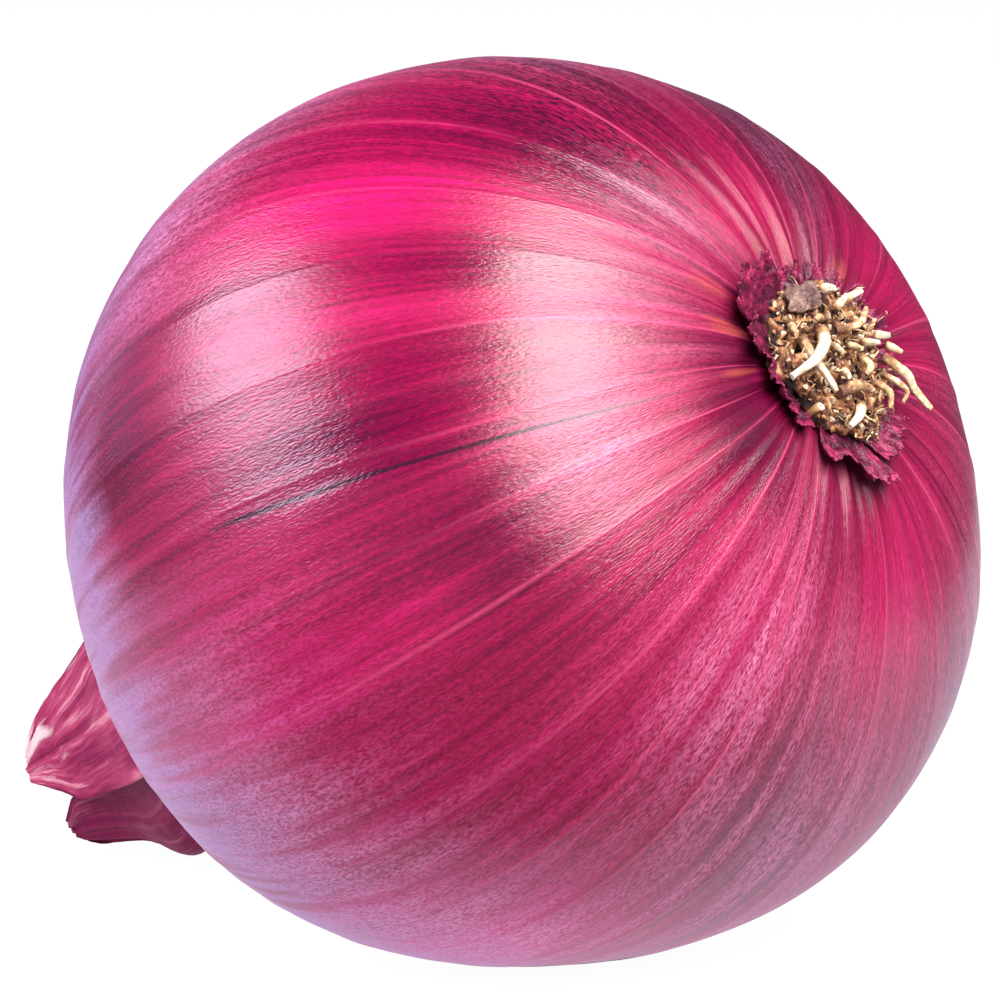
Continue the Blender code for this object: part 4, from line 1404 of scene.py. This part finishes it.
# %% Camera
CAMERA_TURN = math.radians(39.7)
CAMERA_RISE = math.radians(9.2)
CAMERA_AWAY = 400 * MM
CAMERA_LEFT, CAMERA_UP = 1.8, 1.5  # how far the view is off the bulb's middle, in mm
right = Vector((math.cos(CAMERA_TURN), math.sin(CAMERA_TURN), 0))
level = math.cos(CAMERA_RISE)
back = Vector((math.sin(CAMERA_TURN) * level, -math.cos(CAMERA_TURN) * level, math.sin(CAMERA_RISE)))
up = back.cross(right)
camera = new_object("camera", bpy.data.cameras.new("camera"))
camera.data.lens = 164.3
camera.data.sensor_width = 36
camera.location = MIDDLE + back * CAMERA_AWAY - right * CAMERA_LEFT * MM + up * CAMERA_UP * MM
camera.rotation_euler = Matrix((right, up, back)).transposed().to_euler()
bpy.context.scene.camera = camera


# %% Lights
def area_light(name, width, height, watts, colour, shape):
    """A flat light with these sides in metres, still at the origin."""
    lamp = bpy.data.lights.new(name, "AREA")
    lamp.shape, lamp.size, lamp.size_y = shape, width, height
    lamp.energy, lamp.color = watts, linear(colour)[:3]
    return new_object(name, lamp)


def soft_light(name, toward, away, width, height, watts, colour, lean=0, shape="ELLIPSE"):
    """A soft box that faces the bulb, placed by its direction to the right of, above and before it."""
    stand = area_light(name, width, height, watts, colour, shape)
    ray = (toward[0] * right + toward[1] * up + toward[2] * back).normalized()
    stand.location = MIDDLE + away * ray
    facing = ray.to_track_quat("Z", "Y").to_matrix()
    stand.rotation_euler = (facing @ Matrix.Rotation(math.radians(lean), 3, "Z")).to_euler()


soft_light("front_right_box", (0.34, 0.66, 0.7), 0.9, 0.5, 1.05, 27, "#fff8f8", -24, "RECTANGLE")
soft_light("left_box", (-0.87, 0.46, 0.17), 0.9, 0.62, 0.5, 10.5, "#efe8ff")

# The card lies just over the table and shines up.
CARD_SIDE, CARD_BEHIND = 0.34, 0.13  # metres
laid = area_light("card_behind", CARD_SIDE, CARD_SIDE, 0.36, "#f0e6ff", "RECTANGLE")
laid.location = (-CARD_BEHIND * math.sin(CAMERA_TURN), CARD_BEHIND * math.cos(CAMERA_TURN), 0.001)
laid.rotation_euler = (math.pi, 0, CAMERA_TURN)
laid.visible_camera = False

# The camera sees a white room. The onion is lit by a dark one, whose left side glows low down.
world = bpy.data.worlds.new("white room")
bpy.context.scene.world = world
world.use_nodes = True
room = world.node_tree
room.nodes.clear()
seen = add(room, "ShaderNodeBackground", {"Color": (1, 1, 1, 1), "Strength": 1.0})
towards = add(room, "ShaderNodeTexCoord").outputs["Generated"]
height = add(room, "ShaderNodeSeparateXYZ", {0: towards}).outputs["Z"]
leftward = add(room, "ShaderNodeVectorMath", {0: towards, 1: tuple(-right)}, operation="DOT_PRODUCT").outputs[
    "Value"
]
low = add(room, "ShaderNodeMapRange", {0: height, 1: 0.0, 2: 0.5, 3: 1.0, 4: 0.0})
left_side = add(room, "ShaderNodeMapRange", {0: leftward, 1: -0.2, 2: 0.35, 3: 0.05, 4: 1.0})
lit = add(room, "ShaderNodeMath", {0: low, 1: left_side}, operation="MULTIPLY")
walls = add(room, "ShaderNodeMix", {0: lit, "A": linear("#3a3a42"), "B": linear("#cfc6f4")}, data_type="RGBA")
felt = add(room, "ShaderNodeBackground", {"Color": walls, "Strength": 1.1})
which = add(room, "ShaderNodeLightPath").outputs["Is Camera Ray"]
both = add(room, "ShaderNodeMixShader", {0: which, 1: felt, 2: seen})
add(room, "ShaderNodeOutputWorld", {"Surface": both})
bpy.context.scene.view_settings.view_transform = "Standard"
